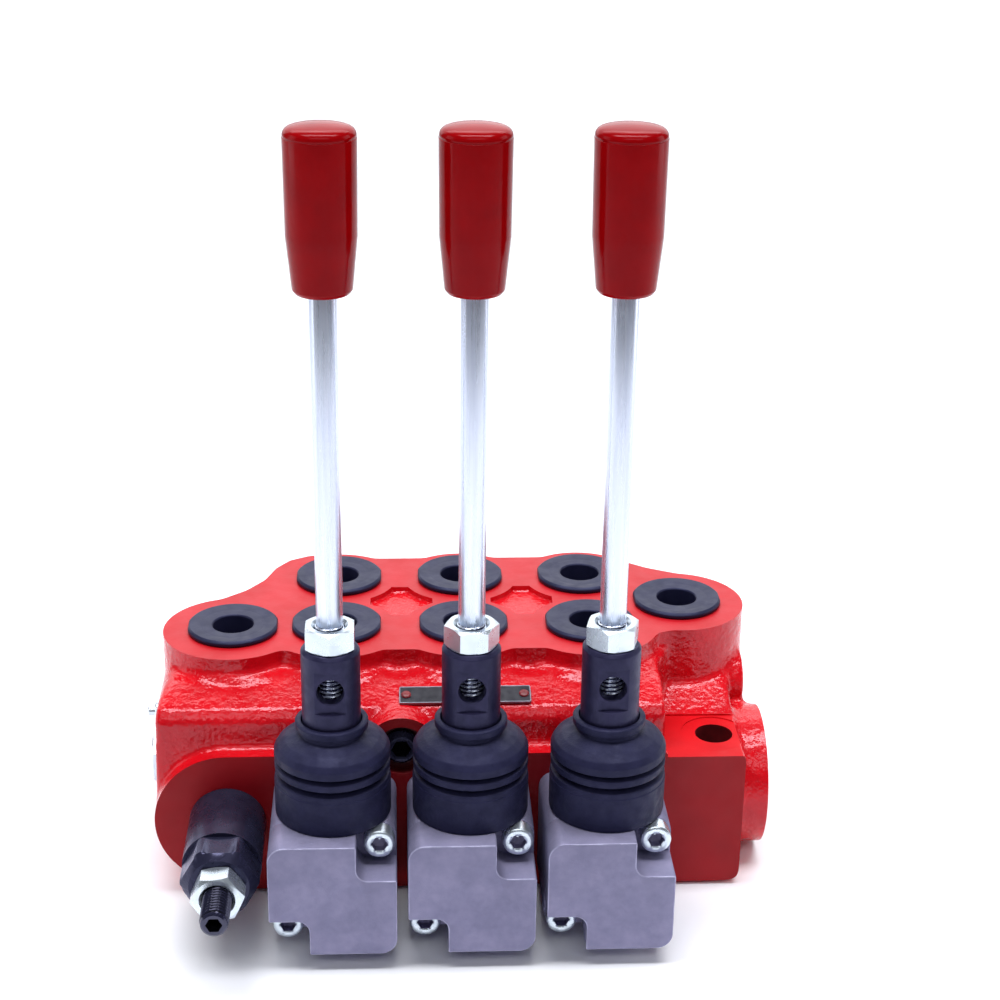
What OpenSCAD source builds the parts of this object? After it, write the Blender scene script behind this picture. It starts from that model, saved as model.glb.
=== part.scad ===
// Three-section hydraulic monoblock valve with lever controls.
// Origin: on the base plane, straight below the A port of the middle section.
// +X runs from the inlet to the outlet, +Y to the end caps, +Z up. The levers are at -Y.

/* [Housing] */
// Distance between two neighbouring spools
pitch = 38; // [38:0.5:40]
// Height of the machined deck above the feet
deck_z = 66; // [64:0.5:70]
// Height of the spool axes above the feet
spool_z = 22; // [21:0.5:23]
// Distance from the row of A ports to the row of B ports
row_gap = 34; // [33:0.5:36]
// Machined face that the lever boxes sit on
front_y = -41; // [-42:0.5:-40]
// Diameter of the holes that bolt the valve down
mount_hole_d = 11; // [9:0.5:11]

/* [Ports] */
// Core diameter of the threaded ports
port_d = 18.6; // [17:0.1:19]
// Depth of the threaded ports
port_depth = 16; // [14:0.5:17]
// Flange diameter of the plastic port plugs
plug_flange_d = 27.2; // [25:0.1:30]
// Diameter of the well in a port plug
plug_well_d = 12; // [8:0.5:14]

/* [Spools] */
// Diameter of the spools
spool_d = 18; // [17:0.5:18]
// Radial running clearance of a spool in its bore
spool_clearance = 0.03; // [0.02:0.01:0.08]
// Wire diameter of the centering springs
spring_wire = 2.4; // [1.8:0.1:2.6]
// Outside diameter of the end cap barrels
cap_barrel_d = 30; // [29:0.5:32]

/* [Levers] */
// Distance from the front face to the lever axes
lever_reach = 18; // [17.5:0.25:18.5]
// Height of the lever pivots above the spool axes
pivot_h = 24; // [23.5:0.25:25]
// Diameter of the lever sockets
socket_d = 16; // [15:0.25:16.5]
// Height of the top of the lever sockets
socket_top_z = 89; // [87:0.5:93]
// Diameter of the lever rods
rod_d = 7.2; // [6:0.1:7.4]
// Height of the top of the knobs
knob_top_z = 230; // [180:1:260]
// Largest diameter of the knobs
knob_d = 18.5; // [17:0.5:24]
// Length of the knobs
knob_len = 42.5; // [32:0.5:45]

/* [Relief valve] */
// Outside diameter of the relief cartridge
relief_d = 22; // [20.5:0.5:23]
// How far the cartridge stands out of the housing
relief_reach = 34; // [30:0.5:38]
// How far the adjusting screw stands out of its jam nut
relief_screw_out = 11.5; // [6:0.5:14]

/* [Hidden] */
$fn = 96;

// Colours
housing_red = [0.74, 0.05, 0.07];
knob_red = [0.70, 0.02, 0.04];
cast_alloy = [0.42, 0.41, 0.43];
bright_zinc = [0.80, 0.81, 0.84];
black_oxide = [0.10, 0.10, 0.11];
black_rubber = [0.06, 0.06, 0.07];
ground_steel = [0.62, 0.63, 0.66];
brass_tone = [0.75, 0.62, 0.33];

// Plan of the housing
sections = [-1, 0, 1];
b_row = row_gap;
mid_y = row_gap / 2;
pad_t = 5;
body_front = front_y + pad_t;
body_back = 2 * mid_y - body_front;
back_y = 2 * mid_y - front_y;
shoulder_z = 60.3;
body_left = -90;
body_right = 80.5;
foot_h = 1;
foot_left = -80;
inlet = [-68.8, -0.7];
outlet = [66.4, 15];
inlet_lobe_r = 20.8;
outlet_lobe_r = 20.5;
ear_top = 42.7;
mounts = [[73, -27], [73, 57], [-73, 57]];
relief_x = -69;
relief_z = 24;
relief_boss_r = 21;
side_port_y = -13;
side_port_z = 21.4;
side_port_x = 89.3;
side_port_r = 20.6;
side_port_depth = 10;
plug_boss_x = -19;
plug_boss_z = 46.3;
gallery_z = 36;
tank_y = [-13, 2 * mid_y + 13];
inlet_side_z = 23.4;
inlet_side_d = 13;
inlet_face_x = -90.5;
drain = [-90.5, -20, 49];
tank_drill = [86, 20, 34];
outlet_swell = [86, 6, 44];
side_boss_x = 79.5;
check = [-60, 17];
check_seat_z = 40;
inlet_link_z = 48;

// Lever box
box_w = pitch - 3;
box_h = 34;
box_len = 39.2;
box_front = front_y - box_len;
box_top = spool_z + box_h / 2;
screw_off = 12.75;
screw_d = 5;
screw_head_d = 8.5;
screw_head_h = 5;
screw_seat_y = front_y - 26;
neck_d = 28;
neck_top = box_top + 11;
neck_bore = 18;
lever_y = front_y - lever_reach;
pivot_z = spool_z + pivot_h;
pin_d = 5;
spool_end_d = 13;
spool_tip_y = lever_y - 7.6;
ball_d = 7;
ball_gap = 0.1;

// Lever hardware
nut_af = 13;
nut_h = 6.5;
thread_d = 7.9;
thread_hole_d = 8;
rod_bottom = socket_top_z - 17;
cross_hole_z = socket_top_z - 10.6;
knob_bottom = knob_top_z - knob_len;

// Parts behind the spools
cap_flange_t = 8;
seat_t = 2;
seat_flange_d = 24;
pack_len = 27;
spring_d = 20.5;
cap_end = back_y + 42;
bolt_d = 8;

function arc(cx, cy, r, a0, a1, steps) =
    [for (i = [0 : steps]) let (a = a0 + (a1 - a0) * i / steps) [cx + r * cos(a), cy + r * sin(a)]];

// Round bars along each axis, placed by their ends
module bar_x(x0, x1, y, z, d) {
    translate([x0, y, z]) rotate([0, 90, 0]) cylinder(d = d, h = x1 - x0);
}

module bar_y(x, y0, y1, z, d) {
    translate([x, y0, z]) rotate([-90, 0, 0]) cylinder(d = d, h = y1 - y0);
}

module bar_z(x, y, z0, z1, d) {
    translate([x, y, z0]) cylinder(d = d, h = z1 - z0);
}

// Hexagonal prism along Z, measured across its flats
module hexagon(af, h) {
    cylinder(d = af / cos(30), h = h, $fn = 6);
}

// Rectangle with rounded corners
module round_rect(w, h, r) {
    square([w - 2 * r, h], center = true);
    square([w, h - 2 * r], center = true);
    for (sx = [-1, 1], sy = [-1, 1])
        translate([sx * (w / 2 - r), sy * (h / 2 - r)]) circle(r = r);
}

// Outline of the machined deck, in plan
module deck_outline() {
    a_lobe_r = 21;
    b_lobe_r = 18.5;
    translate(inlet) circle(r = inlet_lobe_r);
    translate(outlet) circle(r = outlet_lobe_r);
    for (s = sections) {
        translate([s * pitch, 0]) circle(r = a_lobe_r);
        translate([s * pitch, b_row]) circle(r = b_lobe_r);
    }
    polygon([
        [inlet[0], -16], [54, -16], [62, -11.5], [76, -2], [76, 32], [60, 40],
        [48, b_row + 15], [-46, b_row + 15], [-57, 33], [-70, 19]
    ]);
}

// Sloping shoulders of the casting, as a profile across the spool rows
module shoulder_profile() {
    half = body_back - mid_y;
    translate([mid_y, 0])
        polygon([
            [-half, 0], [-half, 53.5], [2 - half, 56.5], [14 - half, shoulder_z],
            [half - 14, shoulder_z], [half - 2, 56.5], [half, 53.5], [half, 0]
        ]);
}

// Front outline of the casting, rounded below its inlet end like the relief boss
module end_profile() {
    top = 62;
    translate([relief_x, relief_z]) circle(r = relief_boss_r);
    corner_r = 8;
    translate([foot_left, foot_h]) square([body_right - foot_left, relief_z - foot_h]);
    translate([body_left, relief_z]) square([body_right - body_left, shoulder_z - corner_r - relief_z]);
    translate([body_left + corner_r, relief_z]) square([body_right - body_left - corner_r, top - relief_z]);
    translate([body_left + corner_r, shoulder_z - corner_r]) circle(r = corner_r);
}

// Outline of the machined front pad, joined to the relief boss
module front_pad_profile() {
    translate([relief_x, relief_z]) circle(r = relief_boss_r);
    translate([relief_x, foot_h]) square([57 - relief_x, relief_z + relief_boss_r - foot_h]);
    translate([foot_left, foot_h]) square([relief_x - foot_left + 1, 10]);
}

// Stands a profile drawn in X and Z upright, running back from y0 to y1
module run_back(y0, y1) {
    translate([0, y1, 0]) rotate([90, 0, 0]) linear_extrude(y1 - y0) children();
}

// Runs a profile drawn in Y and Z from x0 to x1
module run_across(x0, x1) {
    translate([x0, 0, 0]) rotate([90, 0, 90]) linear_extrude(x1 - x0) children();
}

// Clears the top of a rear bolting ear, from the plane y0 back, on the side that sx points to
module rear_ear_clearance(y0, sx) {
    reach = 50;
    inner = 57.4;
    translate([sx > 0 ? inner : -inner - reach, y0, ear_top]) cube([reach, 100, deck_z]);
}

// Clears the front bolting ear, with a floor that rises towards the outlet lobe
module front_ear_clearance() {
    left = 57.4;
    run_across(left, 100)
        polygon([
            [front_y - 1, ear_top], [-15, ear_top], [-4, 51], [mounts[1][1], 51],
            [mounts[1][1], 80], [front_y - 1, 80]
        ]);
}

// Threaded port cut down from the deck, with the bore that leads on
module deck_port(p, bottom) {
    bar_z(p[0], p[1], deck_z - port_depth, deck_z + 1, port_d);
    bar_z(p[0], p[1], bottom, deck_z, 13);
}

module body_casting() {
    difference() {
        intersection() {
            run_across(body_left - 1, body_right + 1) shoulder_profile();
            run_back(body_front - 1, body_back + 1) end_profile();
        }
        front_ear_clearance();
        rear_ear_clearance(36, 1);
        rear_ear_clearance(14, -1);
    }
    translate([0, 0, spool_z + 8]) linear_extrude(deck_z - spool_z - 8) deck_outline();
    run_back(front_y, body_front + 1) front_pad_profile();
    translate([-57, body_back - 1, foot_h]) cube([114, pad_t + 1, relief_z + relief_boss_r - foot_h]);
    translate([57, front_y, foot_h]) cube([body_right - 57, pad_t + 1, ear_top - foot_h]);
    bar_y(plug_boss_x, front_y, -20, plug_boss_z, 20.4);
    bar_x(side_boss_x, side_port_x, side_port_y, side_port_z, 2 * side_port_r);
    bar_x(inlet_face_x, inlet[0], inlet[1], inlet_side_z, 24);
    bar_x(drain[0], inlet[0], drain[1], drain[2], 14);
    for (p = [tank_drill, outlet_swell]) bar_x(outlet[0], p[0], p[1], p[2], 18);
    for (p = mounts) bar_z(p[0], p[1], 0, foot_h + 5, 17);
    bar_z(relief_x, -24, 0, foot_h + 5, 17);
    bar_z(0, 0, 0, foot_h + 1, 36);
}

// Passages of one section: spool bore, ring chambers, seal grooves and the two work ports
module section_passages(x) {
    chamber_w = 7;
    bar_y(x, front_y - 1, back_y + 1, spool_z, spool_d + 2 * spool_clearance);
    for (y = concat(tank_y, [0, mid_y, b_row]))
        bar_y(x, y - chamber_w / 2, y + chamber_w / 2, spool_z, 28);
    for (y = [front_y + 3, back_y - 5.6]) bar_y(x, y, y + 2.6, spool_z, spool_d + 4.2);
    for (y = [0, b_row]) deck_port([x, y], spool_z);
    for (s = [-1, 1], end = [front_y - 1, back_y - 12])
        bar_y(x + s * screw_off, end, end + 13, spool_z + s * screw_off, screw_d + 0.1);
}

// Passages shared by all sections
module gallery_passages() {
    x_end = outlet[0];
    gallery_d = 10;
    for (y = tank_y) bar_x(y < 0 ? relief_x : -pitch, x_end, y, gallery_z, gallery_d);
    bar_y(x_end, tank_y[0], tank_y[1], gallery_z, gallery_d);
    bar_x(check[0], pitch, mid_y, gallery_z, gallery_d);
    deck_port(inlet, relief_z);
    deck_port(outlet, side_port_z);
    bar_x(inlet[0], check[0], inlet[1], inlet_link_z, gallery_d);
    bar_y(check[0], inlet[1], check[1], inlet_link_z, gallery_d);
    bar_z(check[0], check[1], check_seat_z - 1, inlet_link_z, 9);
    bar_z(check[0], check[1], foot_h - 1, check_seat_z, 14.2);
    bar_x(side_port_x - side_port_depth, side_port_x + 1, side_port_y, side_port_z, port_d);
    bar_x(x_end, side_port_x, side_port_y, side_port_z, 13);
    bar_y(x_end, side_port_y, outlet[1], side_port_z, 12);
    bar_x(inlet_face_x - 1, inlet_face_x + 12, inlet[1], inlet_side_z, inlet_side_d);
    bar_x(inlet_face_x, inlet[0], inlet[1], inlet_side_z, 8);
    bar_x(drain[0] - 1, relief_x, drain[1], drain[2], 6.2);
    bar_z(relief_x, drain[1], relief_z, drain[2], 5);
    bar_x(outlet[0], tank_drill[0] + 1, tank_drill[1], tank_drill[2], 8.2);
    bar_y(plug_boss_x, front_y - 1, -10, plug_boss_z, 10.5);
    bar_y(plug_boss_x, front_y - 1, front_y + 3.5, plug_boss_z, 15.2);
    bar_y(relief_x, front_y - 1, -12, relief_z, 20.1);
    bar_y(relief_x, -13, inlet[1] + 6, relief_z, 12.2);
}

// Shallow star-shaped pockets cast into the deck between four ports
module deck_recess(x) {
    translate([x, mid_y, deck_z - 1.5])
        linear_extrude(3)
            difference() {
                square([21.4, 22], center = true);
                for (sx = [-1, 1], sy = [-1, 1])
                    translate([sx * pitch / 2, sy * row_gap / 2]) circle(r = 17.4);
            }
}

module valve_body() {
    color(housing_red)
        difference() {
            body_casting();
            for (s = sections) section_passages(s * pitch);
            gallery_passages();
            for (sx = [-1, 1]) deck_recess(sx * pitch / 2);
            for (p = mounts) bar_z(p[0], p[1], -1, deck_z, mount_hole_d);
        }
}

// Places its children on the sloping front shoulder, local Y pointing up the slope
module on_shoulder(x, run) {
    slope = atan2(shoulder_z - 56.5, 12);
    foot_y = body_front + 2;
    translate([x, foot_y + run * cos(slope), 56.5 + run * sin(slope)])
        rotate([slope, 0, 0]) children();
}

module name_plate() {
    color(black_oxide)
        on_shoulder(-0.5, 4.3)
            difference() {
                translate([-19, -3.3, 0.02]) cube([38, 6.6, 0.8]);
                for (sx = [-1, 1]) translate([sx * 17, 0, -1]) cylinder(d = 2.1, h = 3);
            }
}

module name_plate_rivets() {
    color(housing_red)
        on_shoulder(-0.5, 4.3)
            for (sx = [-1, 1]) translate([sx * 17, 0, 0]) {
                translate([0, 0, 0.02]) cylinder(d = 2, h = 1);
                translate([0, 0, 0.84])
                    intersection() {
                        translate([0, 0, -1.5]) sphere(r = 2, $fn = 48);
                        cylinder(d = 4, h = 2);
                    }
            }
}

// Plastic transit plug: flange, tapered-look stem and a blind well
module port_plug() {
    flange_t = 2;
    stem_d = port_d - 0.2;
    difference() {
        union() {
            rotate_extrude()
                polygon([
                    [0, 0.02], [plug_flange_d / 2, 0.02], [plug_flange_d / 2, 1.3],
                    [plug_flange_d / 2 - 0.7, flange_t], [plug_well_d / 2 + 2, flange_t],
                    [plug_well_d / 2, 1.4], [0, 1.4]
                ]);
            translate([0, 0, -13]) cylinder(d = stem_d, h = 13.5);
        }
        translate([0, 0, -11]) cylinder(d = plug_well_d, h = 15);
        for (sx = [-1, 1]) translate([sx * plug_flange_d / 2, 0, 1]) cube([0.8, 7, 4], center = true);
    }
}

module port_plugs() {
    color(black_rubber) {
        for (s = sections, y = [0, b_row]) translate([s * pitch, y, deck_z]) port_plug();
        for (p = [inlet, outlet]) translate([p[0], p[1], deck_z]) port_plug();
    }
}

// Hexagonal plug of the gauge port beside the relief valve
module side_port_plug() {
    flange_t = 1.2;
    head_t = 2.6;
    flange_face = inlet_face_x - flange_t;
    color(bright_zinc)
        difference() {
            union() {
                bar_x(flange_face, inlet_face_x - 0.02, inlet[1], inlet_side_z, 18.5);
                translate([flange_face - head_t, inlet[1], inlet_side_z])
                    rotate([0, 90, 0]) hexagon(16, head_t + 0.5);
                bar_x(inlet_face_x - 1, inlet_face_x + 9, inlet[1], inlet_side_z, inlet_side_d - 0.1);
            }
            bar_x(flange_face - head_t - 1, flange_face - head_t + 1, inlet[1], inlet_side_z, 9);
        }
}

// Drilling plug along +X, its flush face at the origin and a short pin standing out of it
module drilling_plug(stem_d, pin_len) {
    stem_len = 10;
    plug_pin_d = 3;
    rotate([0, 90, 0]) cylinder(d = stem_d, h = stem_len);
    translate([-pin_len, 0, 0]) rotate([0, 90, 0]) cylinder(d = plug_pin_d, h = pin_len + 1);
}

module side_plugs() {
    color(bright_zinc) {
        translate(drain) drilling_plug(6, 2.2);
        translate(tank_drill) rotate([0, 0, 180]) drilling_plug(8, 3);
    }
}

module gallery_plug() {
    plug_face = front_y + 0.6;
    color(black_oxide)
        difference() {
            bar_y(plug_boss_x, plug_face, plug_face + 14, plug_boss_z, 10.4);
            translate([plug_boss_x, plug_face - 1, plug_boss_z])
                rotate([-90, 0, 0]) hexagon(5, 6);
        }
}

// Relief valve stack. Distances run forward from the housing face, towards -Y.
module relief_axis(out) {
    translate([relief_x, front_y - out, relief_z]) rotate([90, 0, 0]) children();
}

module relief_cartridge() {
    round_len = 24;
    guide_d = 12;
    color(black_oxide)
        relief_axis(0)
            difference() {
                union() {
                    translate([0, 0, 0.02]) cylinder(d = relief_d, h = round_len);
                    intersection() {
                        hexagon(relief_d - 2.5, relief_reach);
                        rotate_extrude()
                            polygon([
                                [0, 1], [relief_d / 2 - 0.1, 1], [relief_d / 2 - 0.1, relief_reach - 2.6],
                                [relief_d / 2 - 2.7, relief_reach], [0, relief_reach]
                            ]);
                    }
                    translate([0, 0, -28]) cylinder(d = 20, h = 28.1);
                    translate([0, 0, -38]) cylinder(d = 12, h = 10.1);
                }
                translate([0, 0, -25]) cylinder(d = guide_d, h = relief_reach + 17);
                translate([0, 0, -39]) cylinder(d = 6, h = 40);
                translate([0, 0, 0]) cylinder(d = thread_d + 0.1, h = relief_reach + 1);
            }
}

module relief_jam_nut() {
    color(bright_zinc)
        relief_axis(relief_reach + 0.02)
            rotate(6) chamfered_nut(nut_af, nut_h, thread_hole_d + 0.4);
}

module relief_screw() {
    tip = relief_reach + nut_h + relief_screw_out;
    inner = relief_reach - 22;
    color(black_oxide)
        relief_axis(0)
            difference() {
                union() {
                    translate([0, 0, inner]) cylinder(d = thread_d, h = tip - inner - 1);
                    translate([0, 0, tip - 1.01]) cylinder(d1 = thread_d, d2 = thread_d - 1.6, h = 1.01);
                }
                translate([0, 0, tip - 5]) hexagon(4, 6);
            }
}

module relief_spring_seat() {
    top = relief_reach - 22.1;
    color(ground_steel)
        relief_axis(0) {
            translate([0, 0, top - 3]) cylinder(d = 11.5, h = 3);
            translate([0, 0, top - 7]) cylinder(d = 5.5, h = 4.1);
        }
}

module relief_poppet() {
    color(ground_steel)
        relief_axis(0) {
            translate([0, 0, -24.8]) cylinder(d1 = 5, d2 = 9, h = 3.3);
            translate([0, 0, -21.6]) cylinder(d = 11.4, h = 4);
            translate([0, 0, -17.7]) cylinder(d = 5.5, h = 5);
        }
}

// Helical spring of round wire along Z, its ends inside the height h
module coil_spring(d, wire, h, turns) {
    sides = 8;
    per_turn = 14;
    n = floor(turns * per_turn);
    r = (d - wire) / 2;
    rise = h - wire;
    ring = function (k) let (t = 360 * k / per_turn, z = wire / 2 + rise * k / n)
        [for (j = [0 : sides - 1]) let (a = 360 * j / sides, q = r + wire / 2 * cos(a))
            [q * cos(t), q * sin(t), z + wire / 2 * sin(a)]];
    points = [for (k = [0 : n]) each ring(k)];
    walls = [for (k = [0 : n - 1], j = [0 : sides - 1])
        let (a = k * sides + j, b = k * sides + (j + 1) % sides)
        [a, a + sides, b + sides, b]];
    first_cap = [for (j = [0 : sides - 1]) j];
    last_cap = [for (j = [sides - 1 : -1 : 0]) n * sides + j];
    polyhedron(points, concat([first_cap], walls, [last_cap]), convexity = 10);
}

module relief_spring() {
    start = -17.5;
    color(ground_steel)
        relief_axis(0)
            translate([0, 0, start])
                coil_spring(10.6, 1.8, relief_reach - 25.2 - start, 6);
}

module check_plug() {
    color(bright_zinc)
        difference() {
            bar_z(check[0], check[1], foot_h + 0.5, foot_h + 12, 14);
            translate([check[0], check[1], foot_h - 1]) hexagon(8, 8);
        }
}

module check_poppet() {
    color(ground_steel)
        translate([check[0], check[1], 0])
            difference() {
                union() {
                    translate([0, 0, check_seat_z - 10]) cylinder(d = 13.6, h = 9.8);
                    translate([0, 0, check_seat_z - 0.3]) cylinder(d1 = 8.6, d2 = 5, h = 3);
                }
                translate([0, 0, check_seat_z - 11]) cylinder(d = 9, h = 7);
            }
}

module check_spring() {
    color(ground_steel)
        translate([check[0], check[1], foot_h + 12.1])
            coil_spring(8.4, 1.2, check_seat_z - 4.1 - foot_h - 12.1, 6);
}

// Hexagonal nut with its corners turned off at both ends
module chamfered_nut(af, h, hole) {
    corner = af / cos(30);
    bevel = 0.8;
    difference() {
        intersection() {
            hexagon(af, h);
            rotate_extrude()
                polygon([
                    [0, 0], [corner / 2 - bevel, 0], [corner / 2, bevel / 2],
                    [corner / 2, h - bevel / 2], [corner / 2 - bevel, h], [0, h]
                ]);
        }
        translate([0, 0, -1]) cylinder(d = hole, h = h + 2);
        translate([0, 0, h - 0.7]) cylinder(d1 = hole, d2 = hole + 1.6, h = 0.8);
    }
}

// Socket head cap screw, its head's outer face at the origin and its shank along +Z
module cap_screw(len) {
    difference() {
        union() {
            cylinder(d = screw_head_d, h = screw_head_h);
            translate([0, 0, screw_head_h - 0.1]) cylinder(d = screw_d, h = len);
        }
        translate([0, 0, -1]) hexagon(4, 3.6);
    }
}

module box_screws() {
    head_y = screw_seat_y - screw_head_h - 0.02;
    color(bright_zinc)
        for (s = sections, side = [-1, 1])
            translate([s * pitch + side * screw_off, head_y, spool_z + side * screw_off])
                rotate([-90, 0, 0]) cap_screw(36);
}

module end_cap_screws() {
    head_y = back_y + cap_flange_t + screw_head_h + 0.02;
    color(bright_zinc)
        for (s = sections, side = [-1, 1])
            translate([s * pitch + side * screw_off, head_y, spool_z + side * screw_off])
                rotate([90, 0, 0]) cap_screw(18);
}

module spool_seals() {
    ring_w = 2.4;
    color(black_rubber)
        for (s = sections, y = [front_y + 3.1, back_y - 5.5])
            difference() {
                bar_y(s * pitch, y, y + ring_w, spool_z, spool_d + 4);
                bar_y(s * pitch, y - 1, y + ring_w + 1, spool_z, spool_d + 0.2);
            }
}

// Cut away at the two screw corners of a lever box, in front of the screw seats
module box_pockets() {
    for (s = [-1, 1])
        translate([s * (box_w / 2 + 5), 0, s * (box_h / 2 + 5)])
            translate([0, box_front / 2 + screw_seat_y / 2 - 0.5, 0])
                rotate([90, 0, 0])
                    linear_extrude(screw_seat_y - box_front + 1, center = true)
                        round_rect(32, 31.4, 3.5);
}

module lever_box(x) {
    wall = 4.2;
    cavity_d = 20;
    front_cavity_d = 14.4;
    color(cast_alloy)
        translate([x, 0, spool_z])
            difference() {
                union() {
                    translate([0, front_y - 0.02, 0])
                        rotate([90, 0, 0]) linear_extrude(box_len - 0.02) round_rect(box_w, box_h, 4.5);
                    translate([0, lever_y, box_h / 2 - 1]) cylinder(d = neck_d, h = neck_top - box_top + 1);
                }
                box_pockets();
                bar_y(0, screw_seat_y, front_y + 1, 0, cavity_d);
                bar_y(0, box_front + wall, screw_seat_y + 1, 0, front_cavity_d);
                translate([0, lever_y, 0]) cylinder(d = neck_bore, h = 60);
                bar_x(-20, 20, lever_y, pivot_h, pin_d);
                for (s = [-1, 1])
                    bar_y(s * screw_off, screw_seat_y - 1, front_y + 1, s * screw_off, screw_d + 0.5);
            }
}

module pivot_pin(x) {
    color(ground_steel) bar_x(x - neck_d / 2 + 0.4, x + neck_d / 2 - 0.4, lever_y, pivot_z, pin_d);
}

module lever_socket(x) {
    eye_d = 13;
    flat_af = 14;
    shoulder_z = pivot_z + 8;
    color(black_oxide)
        translate([x, lever_y, 0])
            difference() {
                union() {
                    translate([0, 0, shoulder_z]) cylinder(d = socket_d, h = socket_top_z - shoulder_z - 1);
                    translate([0, 0, socket_top_z - 1.01])
                        cylinder(d1 = socket_d, d2 = socket_d - 2, h = 1.01);
                    bar_z(0, 0, pivot_z, shoulder_z + 1, 11);
                    translate([-6, 0, pivot_z]) rotate([0, 90, 0]) cylinder(d = eye_d, h = 12);
                    bar_z(0, 0, spool_z, pivot_z, 5);
                    translate([0, 0, spool_z]) sphere(d = ball_d);
                }
                bar_x(-10, 10, 0, pivot_z, pin_d + 0.1);
                bar_z(0, 0, rod_bottom - 1, socket_top_z + 1, thread_hole_d);
                bar_y(0, -15, 15, cross_hole_z, 7.2);
                for (s = [-1, 1])
                    translate([0, s * (flat_af / 2 + 5), socket_top_z - 10.9])
                        cube([30, 10, 12.6], center = true);
            }
}

module lever_rod(x) {
    upper_thread = knob_bottom + 3;
    rod_top = knob_top_z - 12;
    color(bright_zinc)
        translate([x, lever_y, 0]) {
            bar_z(0, 0, rod_bottom, socket_top_z + nut_h - 1, thread_d);
            bar_z(0, 0, rod_bottom, rod_top, rod_d);
            bar_z(0, 0, upper_thread, rod_top, thread_d);
        }
}

module lever_nut(x, turn) {
    color(bright_zinc)
        translate([x, lever_y, socket_top_z + 0.02])
            rotate(turn) chamfered_nut(nut_af, nut_h, thread_hole_d);
}

module knob(x) {
    r = knob_d / 2;
    r_low = 7.7;
    top_edge = 2.4;
    low_edge = 1.2;
    straight_from = knob_bottom + 0.33 * knob_len;
    color(knob_red)
        translate([x, lever_y, 0])
            difference() {
                rotate_extrude()
                    polygon(concat(
                        [[0, knob_bottom]],
                        arc(r_low - low_edge, knob_bottom + low_edge, low_edge, -90, 0, 5),
                        [[r - 0.15, straight_from], [r, straight_from + 5]],
                        arc(r - top_edge, knob_top_z - top_edge - 0.6, top_edge, 0, 75, 6),
                        [[0, knob_top_z]]
                    ));
                bar_z(0, 0, knob_bottom - 1, knob_top_z - 11, thread_hole_d);
            }
}

// Rubber boot: collar over the box neck, two folds, a flat cone and a lip round the socket
module boot(x) {
    wall = 1.6;
    lip_r = socket_d / 2 + 0.3;
    base = box_top + 0.05;
    collar_r = 16;
    inner_r = neck_d / 2 + 0.05;
    color(black_rubber)
        translate([x, lever_y, 0])
            rotate_extrude()
                polygon([
                    [inner_r, base], [collar_r, base], [collar_r, base + 12], [14.9, base + 13.2],
                    [15.9, base + 14.6], [15.9, base + 16], [14.9, base + 17.2], [15.8, base + 18.6],
                    [15.6, base + 20], [9.6, base + 23], [8.9, base + 24.4], [8.9, base + 25.4],
                    [9.8, base + 26], [9.8, base + 28.3], [lip_r, base + 28.3], [lip_r, base + 24],
                    [lip_r + 0.2, base + 22.2], [14 - wall / 2, base + 19.2], [inner_r - 0.4, base + 17],
                    [inner_r - 0.4, base + 11.6], [inner_r, base + 11.4]
                ]);
}

// Spool: lands with two metering grooves, a turned-down front end with the ball hole
module spool(x) {
    r = spool_d / 2;
    groove_r = 6;
    end_r = spool_end_d / 2;
    groove_len = 14;
    color(ground_steel)
        translate([x, 0, spool_z])
            difference() {
                rotate([-90, 0, 0])
                    rotate_extrude()
                        polygon([
                            [0, spool_tip_y], [end_r, spool_tip_y], [end_r, front_y - 6],
                            [r, front_y - 5], [r, -4], [groove_r, -3], [groove_r, groove_len - 5],
                            [r, groove_len - 4], [r, b_row - 10], [groove_r, b_row - 9],
                            [groove_r, b_row + 3], [r, b_row + 4], [r, back_y], [0, back_y]
                        ]);
                translate([0, lever_y, -ball_d / 2 - 1.5])
                    cylinder(d = ball_d + 2 * ball_gap, h = 20);
                translate([-10, spool_tip_y - 1, ball_d / 2])
                    cube([20, lever_y + 7.2 - spool_tip_y + 1, 20]);
                bar_y(0, back_y - 14, back_y + 1, 0, 6.1);
            }
}

// Shoulder bolt that ties the spring pack to the spool
module spool_bolt(x) {
    head_y = back_y + pack_len + 0.4;
    color(black_oxide)
        translate([x, 0, spool_z])
            difference() {
                union() {
                    bar_y(0, back_y - 13, back_y + 1, 0, 6);
                    bar_y(0, back_y + 0.02, head_y + 1, 0, bolt_d);
                    bar_y(0, head_y, head_y + 5, 0, 13);
                }
                translate([0, head_y + 2, 0]) rotate([-90, 0, 0]) hexagon(5, 4);
            }
}

// Flanged washer that guides one end of the centering spring, its flange at the origin
module spring_seat() {
    difference() {
        union() {
            cylinder(d = seat_flange_d, h = seat_t);
            cylinder(d = 13.5, h = 7);
        }
        translate([0, 0, -1]) cylinder(d = bolt_d + 0.6, h = 10);
    }
}

module spring_seat_inner(x) {
    color(ground_steel)
        translate([x, back_y + 0.2, spool_z]) rotate([-90, 0, 0]) spring_seat();
}

module spring_seat_outer(x) {
    color(ground_steel)
        translate([x, back_y + pack_len, spool_z]) rotate([90, 0, 0]) spring_seat();
}

module centering_spring(x) {
    start = back_y + seat_t + 0.4;
    color(ground_steel)
        translate([x, start, spool_z])
            rotate([-90, 0, 0])
                coil_spring(spring_d, spring_wire, pack_len - 2 * seat_t - 0.6, 5);
}

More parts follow.
